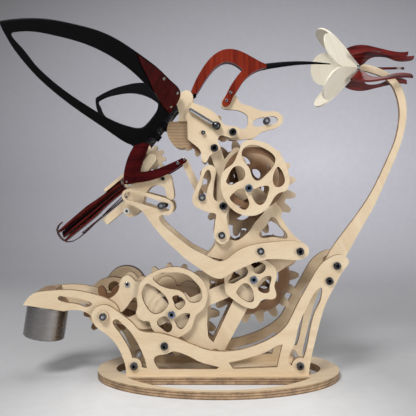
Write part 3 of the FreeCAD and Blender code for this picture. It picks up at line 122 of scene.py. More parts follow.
class AutomatonStage(bpy.types.PropertyGroup):
    """Floor, sky and camera."""
    # Wall and the light middle paint a pool of light on the sweep's wall; the three floor tones paint another
    # on the floor, brightest under the object.
    wall: colour("Wall", "Grey of the paper sweep", (0.175, 0.175, 0.182, 1))
    painted_glow: colour("Glow", "Light middle of the sweep", (0.83, 0.82, 0.89, 1))
    floor: colour("Floor", "Floor under the object", (0.88, 0.88, 0.88, 1))
    floor_edge: colour("Floor edge", "Floor beside the object", (0.53, 0.53, 0.535, 1))
    floor_far: colour("Floor far", "Floor behind the object", (0.48, 0.48, 0.49, 1))
    fibre: colour("Fibre", "Faint fibres of the paper", (0.2, 0.2, 0.2, 1))
    sky: colour("Sky", "Light of the surroundings", (0.93, 0.94, 1.0, 1))
    sky_strength: bpy.props.FloatProperty(name="Sky strength", description="Strength of the sky's light",
                                          default=0.15)
    lens: bpy.props.FloatProperty(name="Lens", description="Focal length", default=52.53, unit="CAMERA")
    shift: bpy.props.FloatProperty(name="Shift", description="Shift of the lens, as a share of the width",
                                   default=-21.0 / 416.0)
    distance: length("Camera distance", "Camera in front of the middle plane", 759.0)
    height: length("Camera height", "Camera above the floor", 234.5)
    aside: length("Camera aside", "Camera left of the middle", 13.0)


# ---- materials ------------------------------------------------------------------------------------------
class Finish:
    """A material and short calls that add its nodes."""

    def __init__(self, name):
        self.material = bpy.data.materials.new(name)
        self.material.use_nodes = True
        self.nodes = self.material.node_tree.nodes
        self.links = self.material.node_tree.links
        self.shader = self.nodes["Principled BSDF"]
        self.place = self.nodes.new("ShaderNodeTexCoord")

    def put(self, socket, value):
        """Links a node's output to a socket, or sets the socket to a number or colour."""
        if isinstance(value, bpy.types.NodeSocket):
            self.links.new(value, socket)
        else:
            socket.default_value = value

    def math(self, operation, a, b=0.0):
        node = self.nodes.new("ShaderNodeMath")
        node.operation = operation
        self.put(node.inputs[0], a)
        self.put(node.inputs[1], b)
        return node.outputs[0]

    def stretch(self, scale, grain=0.0):
        """Object coordinates, turned by degrees about Y so that the grain runs along X, and then scaled."""
        turned = self.nodes.new("ShaderNodeMapping")
        turned.inputs["Rotation"].default_value = (0.0, math.radians(grain), 0.0)
        self.links.new(self.place.outputs["Object"], turned.inputs["Vector"])
        scaled = self.nodes.new("ShaderNodeMapping")
        scaled.inputs["Scale"].default_value = scale
        self.links.new(turned.outputs["Vector"], scaled.inputs["Vector"])
        return scaled.outputs["Vector"]

    def noise(self, vector, detail=4.0, rough=0.5, distortion=0.0):
        node = self.nodes.new("ShaderNodeTexNoise")
        self.links.new(vector, node.inputs["Vector"])
        node.inputs["Scale"].default_value = 1.0
        node.inputs["Detail"].default_value = detail
        node.inputs["Roughness"].default_value = rough
        node.inputs["Distortion"].default_value = distortion
        return node.outputs["Fac"]

    def blend(self, a, share_a, b, share_b):
        """Sum of two values, each with its own share."""
        return self.math("ADD", self.math("MULTIPLY", a, share_a), self.math("MULTIPLY", b, share_b))

    def span(self, value, low, high, to_low=0.0, to_high=1.0):
        """Value moved from low..high to to_low..to_high, and held there."""
        node = self.nodes.new("ShaderNodeMapRange")
        node.clamp = True
        self.put(node.inputs["Value"], value)
        for key, number in (("From Min", low), ("From Max", high), ("To Min", to_low), ("To Max", to_high)):
            node.inputs[key].default_value = number
        return node.outputs["Result"]

    def mix(self, amount, a, b, blend="MIX"):
        """Colour a where the amount is 0 and colour b where it is 1."""
        node = self.nodes.new("ShaderNodeMix")
        node.data_type = "RGBA"
        node.blend_type = blend
        self.put(node.inputs["Factor"], amount)
        self.put(node.inputs[6], a if isinstance(a, bpy.types.NodeSocket) else tuple(a))
        self.put(node.inputs[7], b if isinstance(b, bpy.types.NodeSocket) else tuple(b))
        return node.outputs[2]

    def parts(self, key):
        """X, Y and Z of the place ("Object") or of the way the surface looks ("Normal")."""
        node = self.nodes.new("ShaderNodeSeparateXYZ")
        self.links.new(self.place.outputs[key], node.inputs[0])
        return node.outputs

    def bump(self, height, distance, strength):
        node = self.nodes.new("ShaderNodeBump")
        node.inputs["Distance"].default_value = distance
        node.inputs["Strength"].default_value = strength
        self.links.new(height, node.inputs["Height"])
        self.links.new(node.outputs["Normal"], self.shader.inputs["Normal"])

    def colour(self, value):
        self.put(self.shader.inputs["Base Color"], value)

    def rough(self, value):
        self.put(self.shader.inputs["Roughness"], value)

    def whole(self, key, value):
        """Sets one of the shader's numbers for the whole surface."""
        self.shader.inputs[key].default_value = value


def even(scale):
    """The same scale along X, Y and Z."""
    return (scale, scale, scale)


def reach(f, across, along):
    """Distance from a middle point; each way is given as (value, middle, scale)."""
    squares = []
    for value, middle, scale in (across, along):
        off = f.math("MULTIPLY", f.math("SUBTRACT", value, middle), scale)
        squares.append(f.math("MULTIPLY", off, off))
    return f.math("SQRT", f.math("ADD", *squares))


def birch_fibres(f, woods, grain):
    """Colour and height of a birch face."""
    fine = f.noise(f.stretch((70, 1500, 1500), grain), detail=5, rough=0.65)
    broad = f.noise(f.stretch((9, 70, 70), grain), detail=3, distortion=0.6)
    flecks = f.noise(f.stretch((260, 2600, 2600), grain), detail=2)
    face = f.mix(f.span(f.blend(fine, 0.55, broad, 0.6), 0.42, 0.78), woods.birch_light, woods.birch_dark)
    face = f.mix(f.span(flecks, 0.66, 0.74, 0.0, 0.35), face, woods.edge_light)
    return face, fine


def birch_edge(f, woods, across, burnt, veneer):
    """Colour of a cut edge: veneers stacked along the value across, burnt in patches."""
    layers = f.math("SINE", f.math("MULTIPLY", across, math.pi / veneer))
    edge = f.mix(f.span(layers, 0.15, 0.65), woods.edge_light, woods.edge_dark)
    darkening = f.noise(f.stretch(even(90)), detail=4, rough=0.6)
    grit = f.noise(f.stretch(even(900)), detail=2)
    patches = f.span(darkening, 0.35, 0.65, burnt - 0.3, burnt + 0.2)
    burn = f.math("ADD", patches, f.span(grit, 0.4, 0.7, -0.1, 0.15))
    return f.mix(f.span(burn, 0.0, 1.0), edge, woods.char)


def birch(name, woods, axis="Y", grain=0.0, burnt=0.5, veneer=None, shade_hub=None):
    """Birch ply whose faces look along an axis: fine pale grain there, burnt veneers on the cut edges.

    A shade middle, as (x, z, radius) in mm, is where painted shade darkens the faces towards that middle,
    with some real browning by the laser."""
    f = Finish(name)
    face, fine = birch_fibres(f, woods, grain)
    spots = f.parts("Object")
    looking = f.math("ABSOLUTE", f.parts("Normal")[axis])
    is_edge = f.span(looking, 0.55, 0.75, 1.0, 0.0)
    # Painted shade, with some real browning by the laser, darkens the faces towards the given middle.
    if shade_hub:
        x, z, radius = shade_hub
        fade = 1.0 / (radius * MM)
        away = reach(f, (spots["X"], x * MM, fade), (spots["Z"], z * MM, fade))
        face = f.mix(f.span(away, 0.55, 1.0, 1.0, 0.0), face, woods.darkening, "MULTIPLY")
    f.colour(f.mix(is_edge, face, birch_edge(f, woods, spots[axis], burnt, veneer or woods.veneer)))
    f.rough(f.span(fine, 0.3, 0.7, 0.5, 0.66))
    f.bump(fine, 0.00012, 0.5)
    return f.material


def red_wood(name, woods, light, dark, grain, bands=230.0):
    """Figured red hardwood: dark streaks along the grain, under a thin satin oil."""
    f = Finish(name)
    slow = f.noise(f.stretch((12, bands, bands), grain), detail=3, distortion=0.8)
    fast = f.noise(f.stretch((35, bands * 5, bands * 5), grain), detail=5, rough=0.7)
    pores = f.noise(f.stretch((400, 5200, 5200), grain), detail=1)
    body = f.mix(f.span(f.blend(slow, 0.75, fast, 0.35), 0.40, 0.72), dark, light)
    f.colour(f.mix(f.span(pores, 0.62, 0.72, 0.0, 0.6), body, woods.red_pore))
    f.rough(f.span(fast, 0.3, 0.7, 0.24, 0.38))
    f.whole("Specular IOR Level", 0.08)
    f.whole("Coat Weight", 0.05)
    f.whole("Coat Roughness", 0.14)
    f.bump(fast, 0.00006, 0.4)
    return f.material


def black_satin(name, woods):
    """Black stained wood, fine sanded: soft sheen and faint fibres."""
    f = Finish(name)
    fine = f.noise(f.stretch((120, 1600, 1600), 38), detail=4, rough=0.7)
    f.colour(f.mix(f.span(fine, 0.45, 0.8), woods.black, woods.black_fibre))
    f.rough(f.span(fine, 0.3, 0.7, 0.5, 0.64))
    f.whole("Specular IOR Level", 0.06)
    f.bump(fine, 0.00008, 0.35)
    return f.material


def petal_wood(name, woods):
    """Thin pale wood with straight fine grain."""
    f = Finish(name)
    fine = f.noise(f.stretch((110, 1500, 110)), detail=5, rough=0.65)
    broad = f.noise(f.stretch((25, 160, 25)), detail=2, distortion=0.5)
    f.colour(f.mix(f.span(f.blend(fine, 0.5, broad, 0.5), 0.42, 0.7), woods.petal_light, woods.petal_grain))
    f.rough(f.span(fine, 0.3, 0.7, 0.48, 0.6))
    f.bump(fine, 0.00006, 0.4)
    return f.material


def glossy_sepal(name, woods):
    """Polished red hardwood with dark streaks, under a clear coat."""
    f = Finish(name)
    slow = f.noise(f.stretch((30, 30, 260)), detail=3, distortion=0.7)
    fast = f.noise(f.stretch((60, 60, 1500)), detail=4, rough=0.7)
    f.colour(f.mix(f.span(f.blend(slow, 0.75, fast, 0.3), 0.40, 0.70), woods.red_dark, woods.sepal_light))
    f.rough(0.34)
    f.whole("Specular IOR Level", 0.12)
    f.whole("Coat Weight", 0.8)
    f.whole("Coat Roughness", 0.16)
    f.bump(fast, 0.00003, 0.3)
    return f.material


def turned_steel(name, tone, scale, rough_low, rough_high):
    """Lathe-turned steel: fine rings, close together where the scale is large."""
    f = Finish(name)
    rings = f.noise(f.stretch(scale), detail=3, rough=0.6)
    soft = f.noise(f.stretch(even(60)), detail=2)
    shade = tuple(c * 0.85 for c in tone[:3]) + (1.0,)
    f.colour(f.mix(f.span(rings, 0.3, 0.7), tone, shade))
    f.rough(f.span(f.math("ADD", rings, f.math("MULTIPLY", soft, 0.4)), 0.4, 0.95, rough_low, rough_high))
    f.whole("Metallic", 1.0)
    f.bump(rings, 0.00005, 0.4)
    return f.material


def oxide(name, metals, tone, metallic=0.95):
    """Blackened steel with a slight mottle."""
    f = Finish(name)
    mottle = f.noise(f.stretch(even(700)), detail=3)
    f.colour(f.mix(f.span(mottle, 0.35, 0.7), tone, metals.oxide_mottle))
    f.rough(f.span(mottle, 0.3, 0.7, 0.22, 0.36))
    f.whole("Metallic", metallic)
    f.bump(mottle, 0.00003, 0.3)
    return f.material


def mottled_washer(name, metals):
    """Pale washer with a soft mottle."""
    f = Finish(name)
    mottle = f.noise(f.stretch(even(500)), detail=3)
    f.colour(f.mix(f.span(mottle, 0.3, 0.7), metals.pale_washer, metals.pale_mottle))
    f.rough(f.span(mottle, 0.3, 0.7, 0.4, 0.5))
    return f.material


# Birch plates: finish, turn of the grain in degrees, how burnt the edges are, nodes.
BIRCH_PLATES = (
    ("birch_frames", 0, 0.4, ("frame_front", "frame_rear")),
    ("birch_towers", -60, 0.7, ("tower_front", "tower_rear", "elbow_links", "body_strut", "tail_frame")),
    ("birch_arms", 20, 0.45, ("rocker_arm_front", "rocker_arm_rear", "counter_arm_front", "counter_arm_rear",
                              "counter_head")),
    ("birch_wheels", 35, 0.95, ("left_cam", "right_cam", "upper_cam_front", "upper_cam_rear", "crank_wheel",
                                "crank_knob")),
    ("birch_thorax", -35, 0.7, ("thorax_plate_front", "thorax_plate_rear", "wing_posts", "head_lever",
                                "spacers")),
    ("birch_stem", -65, 0.35, ("stem",)),
    ("birch_mount", -40, 0.2, ("tail_mount",)),
)
# Wheels behind the cams, darkened round their axes by painted shade with some real browning by the laser:
# finish, nodes, axis and radius in mm of the darkened ground.
SHADED_WHEELS = (
    ("birch_shaded_left", ("left_gear", "left_rosette"), LEFT_AXIS, 46.0),
    ("birch_shaded_right", ("right_gear",), RIGHT_AXIS, 58.0),
    ("birch_shaded_upper", ("upper_gear", "upper_rosette"), UPPER_AXIS, 62.0),
    ("birch_shaded_crank", ("crank_pinion",), CRANK_AXIS, 60.0),
    ("birch_shaded_thorax", ("thorax_gear",), THORAX_AXIS, 40.0),
)


def dress(nodes, material):
    """Gives CAD nodes one material."""
    for name in nodes:
        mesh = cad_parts[name].data
        mesh.materials.clear()
        mesh.materials.append(material)


class AUTOMATON_OT_finish_woods(bpy.types.Operator):
    """Gives every wooden piece its birch, red hardwood, petal wood or black finish"""
    bl_idname = "automaton.finish_woods"
    bl_label = "Finish the woods"

    def execute(self, context):
        woods = context.scene.automaton_woods
        for name, grain, burnt, nodes in BIRCH_PLATES:
            dress(nodes, birch(name, woods, grain=grain, burnt=burnt))
        # These wheels take painted shade round their axes.
        for name, nodes, axis, radius in SHADED_WHEELS:
            dress(nodes, birch(name, woods, grain=35, burnt=1.0, shade_hub=(*axis, radius)))
        dress(("base",), birch("birch_base", woods, axis="Z", burnt=0.4, veneer=woods.base_veneer))
        dress(("thorax_core",), birch("birch_core", woods, axis="Z", burnt=0.05, veneer=woods.core_veneer))
        dress(("petals",), petal_wood("petal_wood", woods))
        dress(("sepals",), glossy_sepal("sepal_wood", woods))
        dress(("wing_near_cap", "wing_far_cap"),
              red_wood("red_caps", woods, woods.red_light, woods.red_dark, 62))
        dress(("belly_plate_front", "belly_plate_rear", "bird_pins"),
              red_wood("red_belly", woods, woods.red_light, woods.red_dark, 0))
        dress(("head_plate_front", "head_plate_rear"),
              red_wood("red_head", woods, woods.head_light, woods.head_dark, 90, bands=170.0))
        dress(("wing_near", "wing_far", "beak"), black_satin("black_wood", woods))
        return {"FINISHED"}


class AUTOMATON_OT_finish_metals(bpy.types.Operator):
    """Gives the shafts, rods, screws and the weight their metal finishes"""
    bl_idname = "automaton.finish_metals"
    bl_label = "Finish the metals"

    def execute(self, context):
        metals = context.scene.automaton_metals
        bright = turned_steel("turned_steel", metals.steel, (500, 2500, 500), 0.2, 0.34)
        dress(("tie_rods", "crank_shaft", "knob_pin", "left_shaft", "right_shaft", "upper_shaft",
               "blossom_hub"), bright)
        dress(("pushrod",), turned_steel("rod_steel", metals.rod_steel, even(30), 0.12, 0.2))
        dress(("hinge_rods",), oxide("hinge_black", metals, metals.hinge_black))
        dress(("counter_weight",), turned_steel("weight_steel", metals.dark_steel, (12, 12, 1500), 0.2, 0.32))
        dress(("pivot_screws",), oxide("black_screws", metals, metals.oxide))
        return {"FINISHED"}


# ---- shapes ---------------------------------------------------------------------------------------------
def of_kind(made, kind):
    """The vertices, edges or faces among what a bmesh call made."""
    return [g for g in made if isinstance(g, kind)]


def raised(bm, faces, step):
    """Extrudes faces by a step and gives the new vertices."""
    high = of_kind(bmesh.ops.extrude_face_region(bm, geom=faces)["geom"], bmesh.types.BMVert)
    bmesh.ops.translate(bm, vec=step, verts=high)
    return high


def drawn_out(bm, edge, steps):
    """Extrudes an edge by one step after another."""
    for step in steps:
        made = bmesh.ops.extrude_edge_only(bm, edges=[edge])["geom"]
        edge = of_kind(made, bmesh.types.BMEdge)[0]
        bmesh.ops.translate(bm, vec=step, verts=edge.verts)


def bridged(bm, outer, inner):
    """Faces between two circles of vertices."""
    edges = list({e for v in outer + inner for e in v.link_edges})
    return bmesh.ops.bridge_loops(bm, edges=edges)["faces"]


def facing(place, way):
    """Matrix that moves a shape drawn along +Z to a place in mm, looking along way."""
    turn = Vector(way).normalized().to_track_quat("Z", "Y").to_matrix().to_4x4()
    return Matrix.Translation(Vector(place) * MM) @ turn


# Edges that bend by more than this many degrees stay sharp.
SHARP_BEND = 35.0


def place_mesh(bm, name, material, body):
    """Turns a bmesh into a piece that rides on a body, shaded smooth except at its sharp edges."""
    bmesh.ops.recalc_face_normals(bm, faces=bm.faces)
    for face in bm.faces:
        face.smooth = True
    for edge in bm.edges:
        edge.smooth = edge.calc_face_angle(0.0) < math.radians(SHARP_BEND)
    mesh = bpy.data.meshes.new(name)
    bm.to_mesh(mesh)
    bm.free()
    piece = bpy.data.objects.new(name, mesh)
    bpy.context.scene.collection.objects.link(piece)
    mesh.materials.append(material)
    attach(piece, body)
    return piece


# Shares of a screw head: the socket's radius and the bevel are shares of its radius, the depth of its height.
SOCKET_RADIUS = 0.5
SOCKET_DEPTH = 0.14
HEAD_BEVEL = 0.12


def socket_head(bm, where, radius, height):
    """Cylinder head with a bevelled rim and a six-sided socket, whose inside takes the second material."""
    bottom = bmesh.ops.create_circle(bm, cap_ends=True, segments=32, radius=radius)["verts"]
    top = bmesh.ops.extrude_face_region(bm, geom=[bottom[0].link_faces[0]])["geom"]
    top_face = of_kind(top, bmesh.types.BMFace)[0]
    bmesh.ops.translate(bm, vec=(0, 0, height), verts=top_face.verts)
    made = bottom + list(top_face.verts)
    rim = list(top_face.edges)
    bmesh.ops.delete(bm, geom=[top_face], context="FACES_ONLY")
    hexagon = bmesh.ops.create_circle(bm, cap_ends=False, segments=6, radius=radius * SOCKET_RADIUS)["verts"]
    bmesh.ops.translate(bm, vec=(0, 0, height), verts=hexagon)
    sides = list({e for v in hexagon for e in v.link_edges})
    bmesh.ops.bridge_loops(bm, edges=rim + sides)
    down = bmesh.ops.extrude_edge_only(bm, edges=sides)["geom"]
    floor = of_kind(down, bmesh.types.BMVert)
    bmesh.ops.translate(bm, vec=(0, 0, -height * SOCKET_DEPTH), verts=floor)
    floor_edges = [e for e in of_kind(down, bmesh.types.BMEdge) if all(v in floor for v in e.verts)]
    closed = bmesh.ops.contextual_create(bm, geom=floor_edges)
    # The socket's inside takes the bright second material, a painted glint.
    for inside in closed["faces"] + of_kind(down, bmesh.types.BMFace):
        inside.material_index = 1
    bevelled = bmesh.ops.bevel(bm, geom=[e for e in rim if e.is_valid], offset=radius * HEAD_BEVEL,
                               segments=3, profile=0.5, affect="EDGES", material=-1)
    made += hexagon + floor + bevelled["verts"]
    bmesh.ops.transform(bm, matrix=where, verts=list({v for v in made if v.is_valid}))


def washer(bm, where, outer, inner, height):
    """Flat ring that stands on its place and rises by its height."""
    ring = bmesh.ops.create_circle(bm, cap_ends=False, segments=36, radius=outer)["verts"]
    hole = bmesh.ops.create_circle(bm, cap_ends=False, segments=36, radius=inner)["verts"]
    high = raised(bm, bridged(bm, ring, hole), (0, 0, height))
    bmesh.ops.transform(bm, matrix=where, verts=list(set(ring + hole + high)))


def front_ring(axis, back, outer, inner, thick):
    """Ring about an (x, z) axis, from its back face towards the front, in mm."""
    bm = bmesh.new()
    washer(bm, facing((axis[0], back, axis[1]), FORWARDS), outer * MM, inner * MM, thick * MM)
    return bm


def flat_plate(bm, outline, y0, y1):
    """Plate of an (x, z) outline between two distances from the middle plane, in mm."""
    face = bm.faces.new([bm.verts.new((x * MM, y0 * MM, z * MM)) for x, z in outline])
    raised(bm, [face], (0, (y1 - y0) * MM, 0))


# Points round one lobe, and the power that makes the lobes round and the notches between them narrow.
LOBE_SEGMENTS = 20
LOBE_POWER = 0.7


def lobed_ring(axis, front, thick, lobes, radius, depth, hole):
    """Ring with round lobes about an (x, z) axis, from its front face to the back, in mm."""
    bm = bmesh.new()
    segments = lobes * LOBE_SEGMENTS
    outer = bmesh.ops.create_circle(bm, cap_ends=False, segments=segments, radius=radius)["verts"]
    for v in outer:
        turn = math.atan2(v.co.y, v.co.x)
        v.co *= 1.0 - depth / radius * (1.0 - abs(math.cos(turn * lobes / 2.0)) ** LOBE_POWER)
    inner = bmesh.ops.create_circle(bm, cap_ends=False, segments=segments, radius=hole)["verts"]
    high = raised(bm, bridged(bm, outer, inner), (0, 0, -thick))
    for v in outer + inner + high:
        v.co = Vector((axis[0] + v.co.x, front - v.co.z, axis[1] + v.co.y)) * MM
    return bm


def turned_profile(start, way, stations):
    """Round piece about a line: stations are (distance along it, radius), in mm."""
    bm = bmesh.new()
    axis = Vector(way).normalized()
    side = axis.orthogonal().normalized()
    spots = [bm.verts.new((Vector(start) + axis * d + side * r) * MM) for d, r in stations]
    edges = [bm.edges.new(pair) for pair in zip(spots, spots[1:])]
    bmesh.ops.spin(bm, geom=spots + edges, cent=Vector(start) * MM, axis=axis, dvec=(0, 0, 0),
                   angle=2 * math.pi, steps=24, use_merge=True, use_duplicate=False)
    bmesh.ops.remove_doubles(bm, verts=bm.verts, dist=1e-6)
    return bm


# ---- fasteners ------------------------------------------------------------------------------------------
# Screw heads as (x, face y, z, size of the head as a share of the full one), in mm, by finish and then by the
# body that carries them. A face y below zero means the front alone.
FRAME_FACE = 32.0
BLACK_HEADS = {
    "stand": [(-65.2, FRAME_FACE, 44.0, 1.0), (141.5, FRAME_FACE, 140.2, 1.0),
              (132.4, FRAME_FACE, 122.1, 1.0), (97.3, 32.4, 157.4, 1.0), (5.3, 24.8, 211.4, 1.0),
              (-5.3, 24.4, 281.8, 1.0)],
    "rocker": [(50.1, FRAME_FACE, 157.6, 0.95)],
    "elbow": [(3.6, 24.4, 176.0, 0.95)],
    "bird": [(17.0, 24.0, 301.0, 1.0), (THORAX_AXIS[0], -24.0, THORAX_AXIS[1], 0.55),
             (-68.1, 13.7, 244.6, 0.5)],
}
GREY_HEADS = {
    "stand": [(-101.6, FRAME_FACE, 20.1, 1.0), (97.5, FRAME_FACE, 20.3, 1.0)],
    "rocker": [(-69.1, FRAME_FACE, 211.9, 0.95)],
    "elbow": [(-20.2, 24.4, 221.7, 0.95)],
    "head": [(60.3, 3.0, 317.0, 0.95)],
    "crank": [(CRANK_AXIS[0], -36.0, CRANK_AXIS[1], 0.95)],
}
BLUE_HEADS = {
    "left_wheel": [(LEFT_AXIS[0], -24.0, LEFT_AXIS[1], 1.0)],
    "right_wheel": [(RIGHT_AXIS[0], -24.0, RIGHT_AXIS[1], 1.0)],
    "upper_wheel": [(UPPER_AXIS[0], 34.5, UPPER_AXIS[1], 1.0)],
}
# Radius of a washer's hole, as a share of the head's.
WASHER_HOLE = 0.8


class AUTOMATON_OT_socket_screws(bpy.types.Operator):
    """Adds socket heads and washers over the plain screw heads on the front and rear faces"""
    bl_idname = "automaton.socket_screws"
    bl_label = "Add the socket screws"

    def execute(self, context):
        metals = context.scene.automaton_metals
        bright = turned_steel("washers", metals.steel, even(900), 0.25, 0.4)
        # Bright insides of the sockets: a painted glint.
        inside = oxide("sockets", metals, metals.socket, metallic=0.2)
        black = oxide("socket_black", metals, metals.oxide)
        grey = turned_steel("socket_grey", metals.grey_screw, even(900), 0.3, 0.45)
        blue = turned_steel("socket_blue", metals.blue_screw, even(900), 0.22, 0.36)
        for tint, material, table in (("black", black, BLACK_HEADS), ("grey", grey, GREY_HEADS),
                                      ("blue", blue, BLUE_HEADS)):
            for body, screws in table.items():
                heads = bmesh.new()
                rings = bmesh.new()
                for x, y, z, size in screws:
                    radius = metals.head_radius * size
                    for side in (-1,) if y < 0 else (-1, 1):
                        where = facing((x, side * abs(y), z), (0, side, 0))
                        socket_head(heads, where, radius, metals.head_height)
                        washer(rings, where, metals.washer_radius * size, radius * WASHER_HOLE,
                               metals.washer_height)
                piece = place_mesh(heads, "socket_heads_" + tint + "_" + body, material, body)
                piece.data.materials.append(inside)
                place_mesh(rings, "washers_" + tint + "_" + body, bright, body)
        return {"FINISHED"}


# Small bright screws as (x, y, z), way they face, radius in mm, by body.
WING_OUT = (0.6534, -0.5562, -0.5134)
SILVER_HEADS = {
    "stand": [((-111.5, -17.0, 115.2), FORWARDS, 3.4)],
    "near_wing": [((-63.9, -64.1, 358.9), WING_OUT, 1.9), ((-50.0, -36.4, 346.6), WING_OUT, 1.7),
                  ((-57.7, -30.9, 331.0), WING_OUT, 1.7)],
    "bird": [((-49.9, -19.7, 263.7), FORWARDS, 1.8), ((-41.9, -19.7, 268.4), FORWARDS, 1.6),
             ((-112.1, -19.7, 240.9), FORWARDS, 1.2)],
    "head": [((15.0, -8.0, 351.4), FORWARDS, 1.9), ((10.0, -8.0, 341.5), FORWARDS, 1.9),
             ((-33.0, -3.0, 350.0), FORWARDS, 1.7)],
}
SILVER_HEIGHT = 1.4


class AUTOMATON_OT_silver_screws(bpy.types.Operator):
    """Adds the small bright screws of the stand, the wing, the belly and the head"""
    bl_idname = "automaton.silver_screws"
    bl_label = "Add the bright screws"

    def execute(self, context):
        metals = context.scene.automaton_metals
        bright = turned_steel("bright_screws", metals.steel, even(900), 0.16, 0.3)
        for body, screws in SILVER_HEADS.items():
            bm = bmesh.new()
            for place, way, radius in screws:
                socket_head(bm, facing(place, way), radius * MM, SILVER_HEIGHT * MM)
            place_mesh(bm, "bright_screws_" + body, bright, body)
        return {"FINISHED"}


# ---- plates and rings ------------------------------------------------------------------------------------
# Lower panel between the tower's bars, as (x, z), and its two faces, in mm from the middle plane.
TOWER_INFILL = [
    (-19.8, 134.1), (-12.4, 127.3), (-10.8, 116.3), (-11.9, 102.6), (-13.5, 86.2), (-14.1, 67.0),
    (-13.0, 53.2), (-10.8, 47.2), (-6.9, 44.0), (-4.8, 34.0), (-30.0, 40.0), (-48.7, 53.2), (-34.9, 67.0),
    (-26.7, 80.7), (-22.5, 102.6), (-21.2, 132.8),
]
INFILL_FACES = (11.3, 16.7)
# Middle of the upper front cam's disc, which stands off the wheel's axis, as (x, z) in mm.
UPPER_CAM_MIDDLE = (42.9, 244.8)
# The crank's cap: where it starts on its axis, and its stations as (distance forwards, radius), in mm.
CRANK_CAP_Y = -32.4
CRANK_CAP = [(0.1, 0.0), (0.1, 6.6), (2.9, 6.6), (3.6, 5.9), (3.6, 0.0)]


class AUTOMATON_OT_plates_and_rings(bpy.types.Operator):
    """Adds the tower's lower panels, the right wheel's rosette, the rings of two cams and the crank's cap"""
    bl_idname = "automaton.plates_and_rings"
    bl_label = "Add the plates and rings"

    def execute(self, context):
        woods = context.scene.automaton_woods
        panel = birch("birch_panels", woods, grain=-60, burnt=0.45)
        # The rosette's rim and the upper cam's backing ring take painted shade that darkens them towards
        # their middles, with some real browning by the laser.
        rim = birch("birch_rim", woods, grain=20, burnt=1.0, shade_hub=(*RIGHT_AXIS, 76.0))
        ring = birch("birch_ring", woods, grain=20, burnt=1.0)
        shade = birch("birch_shade", woods, grain=20, burnt=1.0, shade_hub=(*UPPER_CAM_MIDDLE, 120.0))
        cap = birch("birch_cap", woods, grain=70, burnt=0.4)
        bm = bmesh.new()
        for side in (-1, 1):
            flat_plate(bm, TOWER_INFILL, side * INFILL_FACES[0], side * INFILL_FACES[1])
        place_mesh(bm, "tower_panels", panel, "stand")
        bm = lobed_ring(RIGHT_AXIS, front=-2.3, thick=6.0, lobes=7, radius=47.0, depth=7.0, hole=33.0)
        place_mesh(bm, "right_rosette_rim", rim, "right_wheel")
        bm = front_ring(LEFT_AXIS, back=-17.4, outer=29.6, inner=23.4, thick=0.58)
        place_mesh(bm, "left_cam_ring", ring, "left_wheel")
        # The backing ring is painted dark with shade round the cam's middle.
        bm = front_ring(UPPER_CAM_MIDDLE, back=-25.0, outer=38.2, inner=30.5, thick=3.45)
        place_mesh(bm, "upper_cam_backing", shade, "upper_wheel")
        bm = turned_profile((CRANK_AXIS[0], CRANK_CAP_Y, CRANK_AXIS[1]), FORWARDS, CRANK_CAP)
        place_mesh(bm, "crank_cap", cap, "crank")
        return {"FINISHED"}


# ---- tail -----------------------------------------------------------------------------------------------
# The tail's own directions: along the feathers and square to them through the stack, from its pin, in mm.
TAIL_PIN = Vector((-106.0, 0.0, 247.0))
TAIL_ALONG = Vector((-0.771, 0.0, -0.637))
TAIL_UNDER = Vector((0.637, 0.0, -0.771))
# Distances from the tail's pin: the pin of the fan, and the leaves' roots and tips, in mm.
FAN_PIN = 14.0
LEAF_ROOT = 16.5
LEAF_TIP = 114.0
# A leaf's thickness, its pitch in the stack, half its width at the root and how much that grows, in mm.
LEAF_THICK = 1.76
LEAF_PITCH = 2.0
ROOT_HALF_WIDTH = 4.8
LEAF_SWELL = 4.6
SWELL_LENGTH = 66.0
TIP_LENGTH = 12.0
# The stack opens by this share of its height, from a distance from the pin over a length in mm.
STACK_OPENS = 0.36
OPENS_FROM = 38.0
OPENS_OVER = 34.0
# The strip that loops round the leaves' tips: middle line as (along, under), half width and thickness.
STRIP_PATH = [
    (21.0, 10.6), (45.0, 11.8), (70.0, 14.2), (90.0, 15.8), (102.0, 15.6), (110.0, 14.0), (115.6, 10.2),
    (118.2, 4.6), (118.8, 0.0), (118.2, -5.2), (115.8, -10.4), (111.2, -13.2), (104.6, -13.8),
]
STRIP_HALF_WIDTH = 4.0
STRIP_THICK = 0.9


def tail_spot(along, under):
    """Place of a point given in the tail's own directions, in mm."""
    return TAIL_PIN + TAIL_ALONG * along + TAIL_UNDER * under


def leaf_half_width(along):
    """Half the width of a tail leaf at a distance from the tail's pin, in mm."""
    grown = min(90.0, max(0.0, (along - LEAF_ROOT) / SWELL_LENGTH * 90.0))
    half = ROOT_HALF_WIDTH + LEAF_SWELL * math.sin(math.radians(grown))
    left = min(1.0, max(0.0, (LEAF_TIP - along) / TIP_LENGTH))
    return half * math.sqrt(1.0 - (1.0 - left) ** 2 * 0.9)


def leaf_spread(along):
    """How far the stack has opened past its mount."""
    t = min(1.0, max(0.0, (along - OPENS_FROM) / OPENS_OVER))
    return 1.0 + STACK_OPENS * t * t * (3.0 - 2.0 * t)


def tail_leaf(bm, layer, turn):
    """Thin leaf in its layer of the stack, turned by degrees about the pin of the fan."""
    middle = (LEAF_ROOT + LEAF_TIP) / 2
    half = (LEAF_TIP - LEAF_ROOT) / 2
    grid = bmesh.ops.create_grid(bm, x_segments=44, y_segments=4, size=1.0)["verts"]
    for v in grid:
        along = middle + half * v.co.x
        v.co = Vector((along, v.co.y * leaf_half_width(along), layer * LEAF_PITCH - LEAF_THICK / 2))
    flat = list({face for v in grid for face in v.link_faces})
    leaf = grid + raised(bm, flat, (0, 0, LEAF_THICK))
    for v in leaf:
        v.co.z *= leaf_spread(v.co.x)
    fan = Matrix.Rotation(math.radians(turn), 3, "Z")
    bmesh.ops.rotate(bm, verts=leaf, cent=(FAN_PIN, 0, 0), matrix=fan)
    for v in leaf:
        v.co = (tail_spot(v.co.x, v.co.z) + Vector((0, v.co.y, 0))) * MM


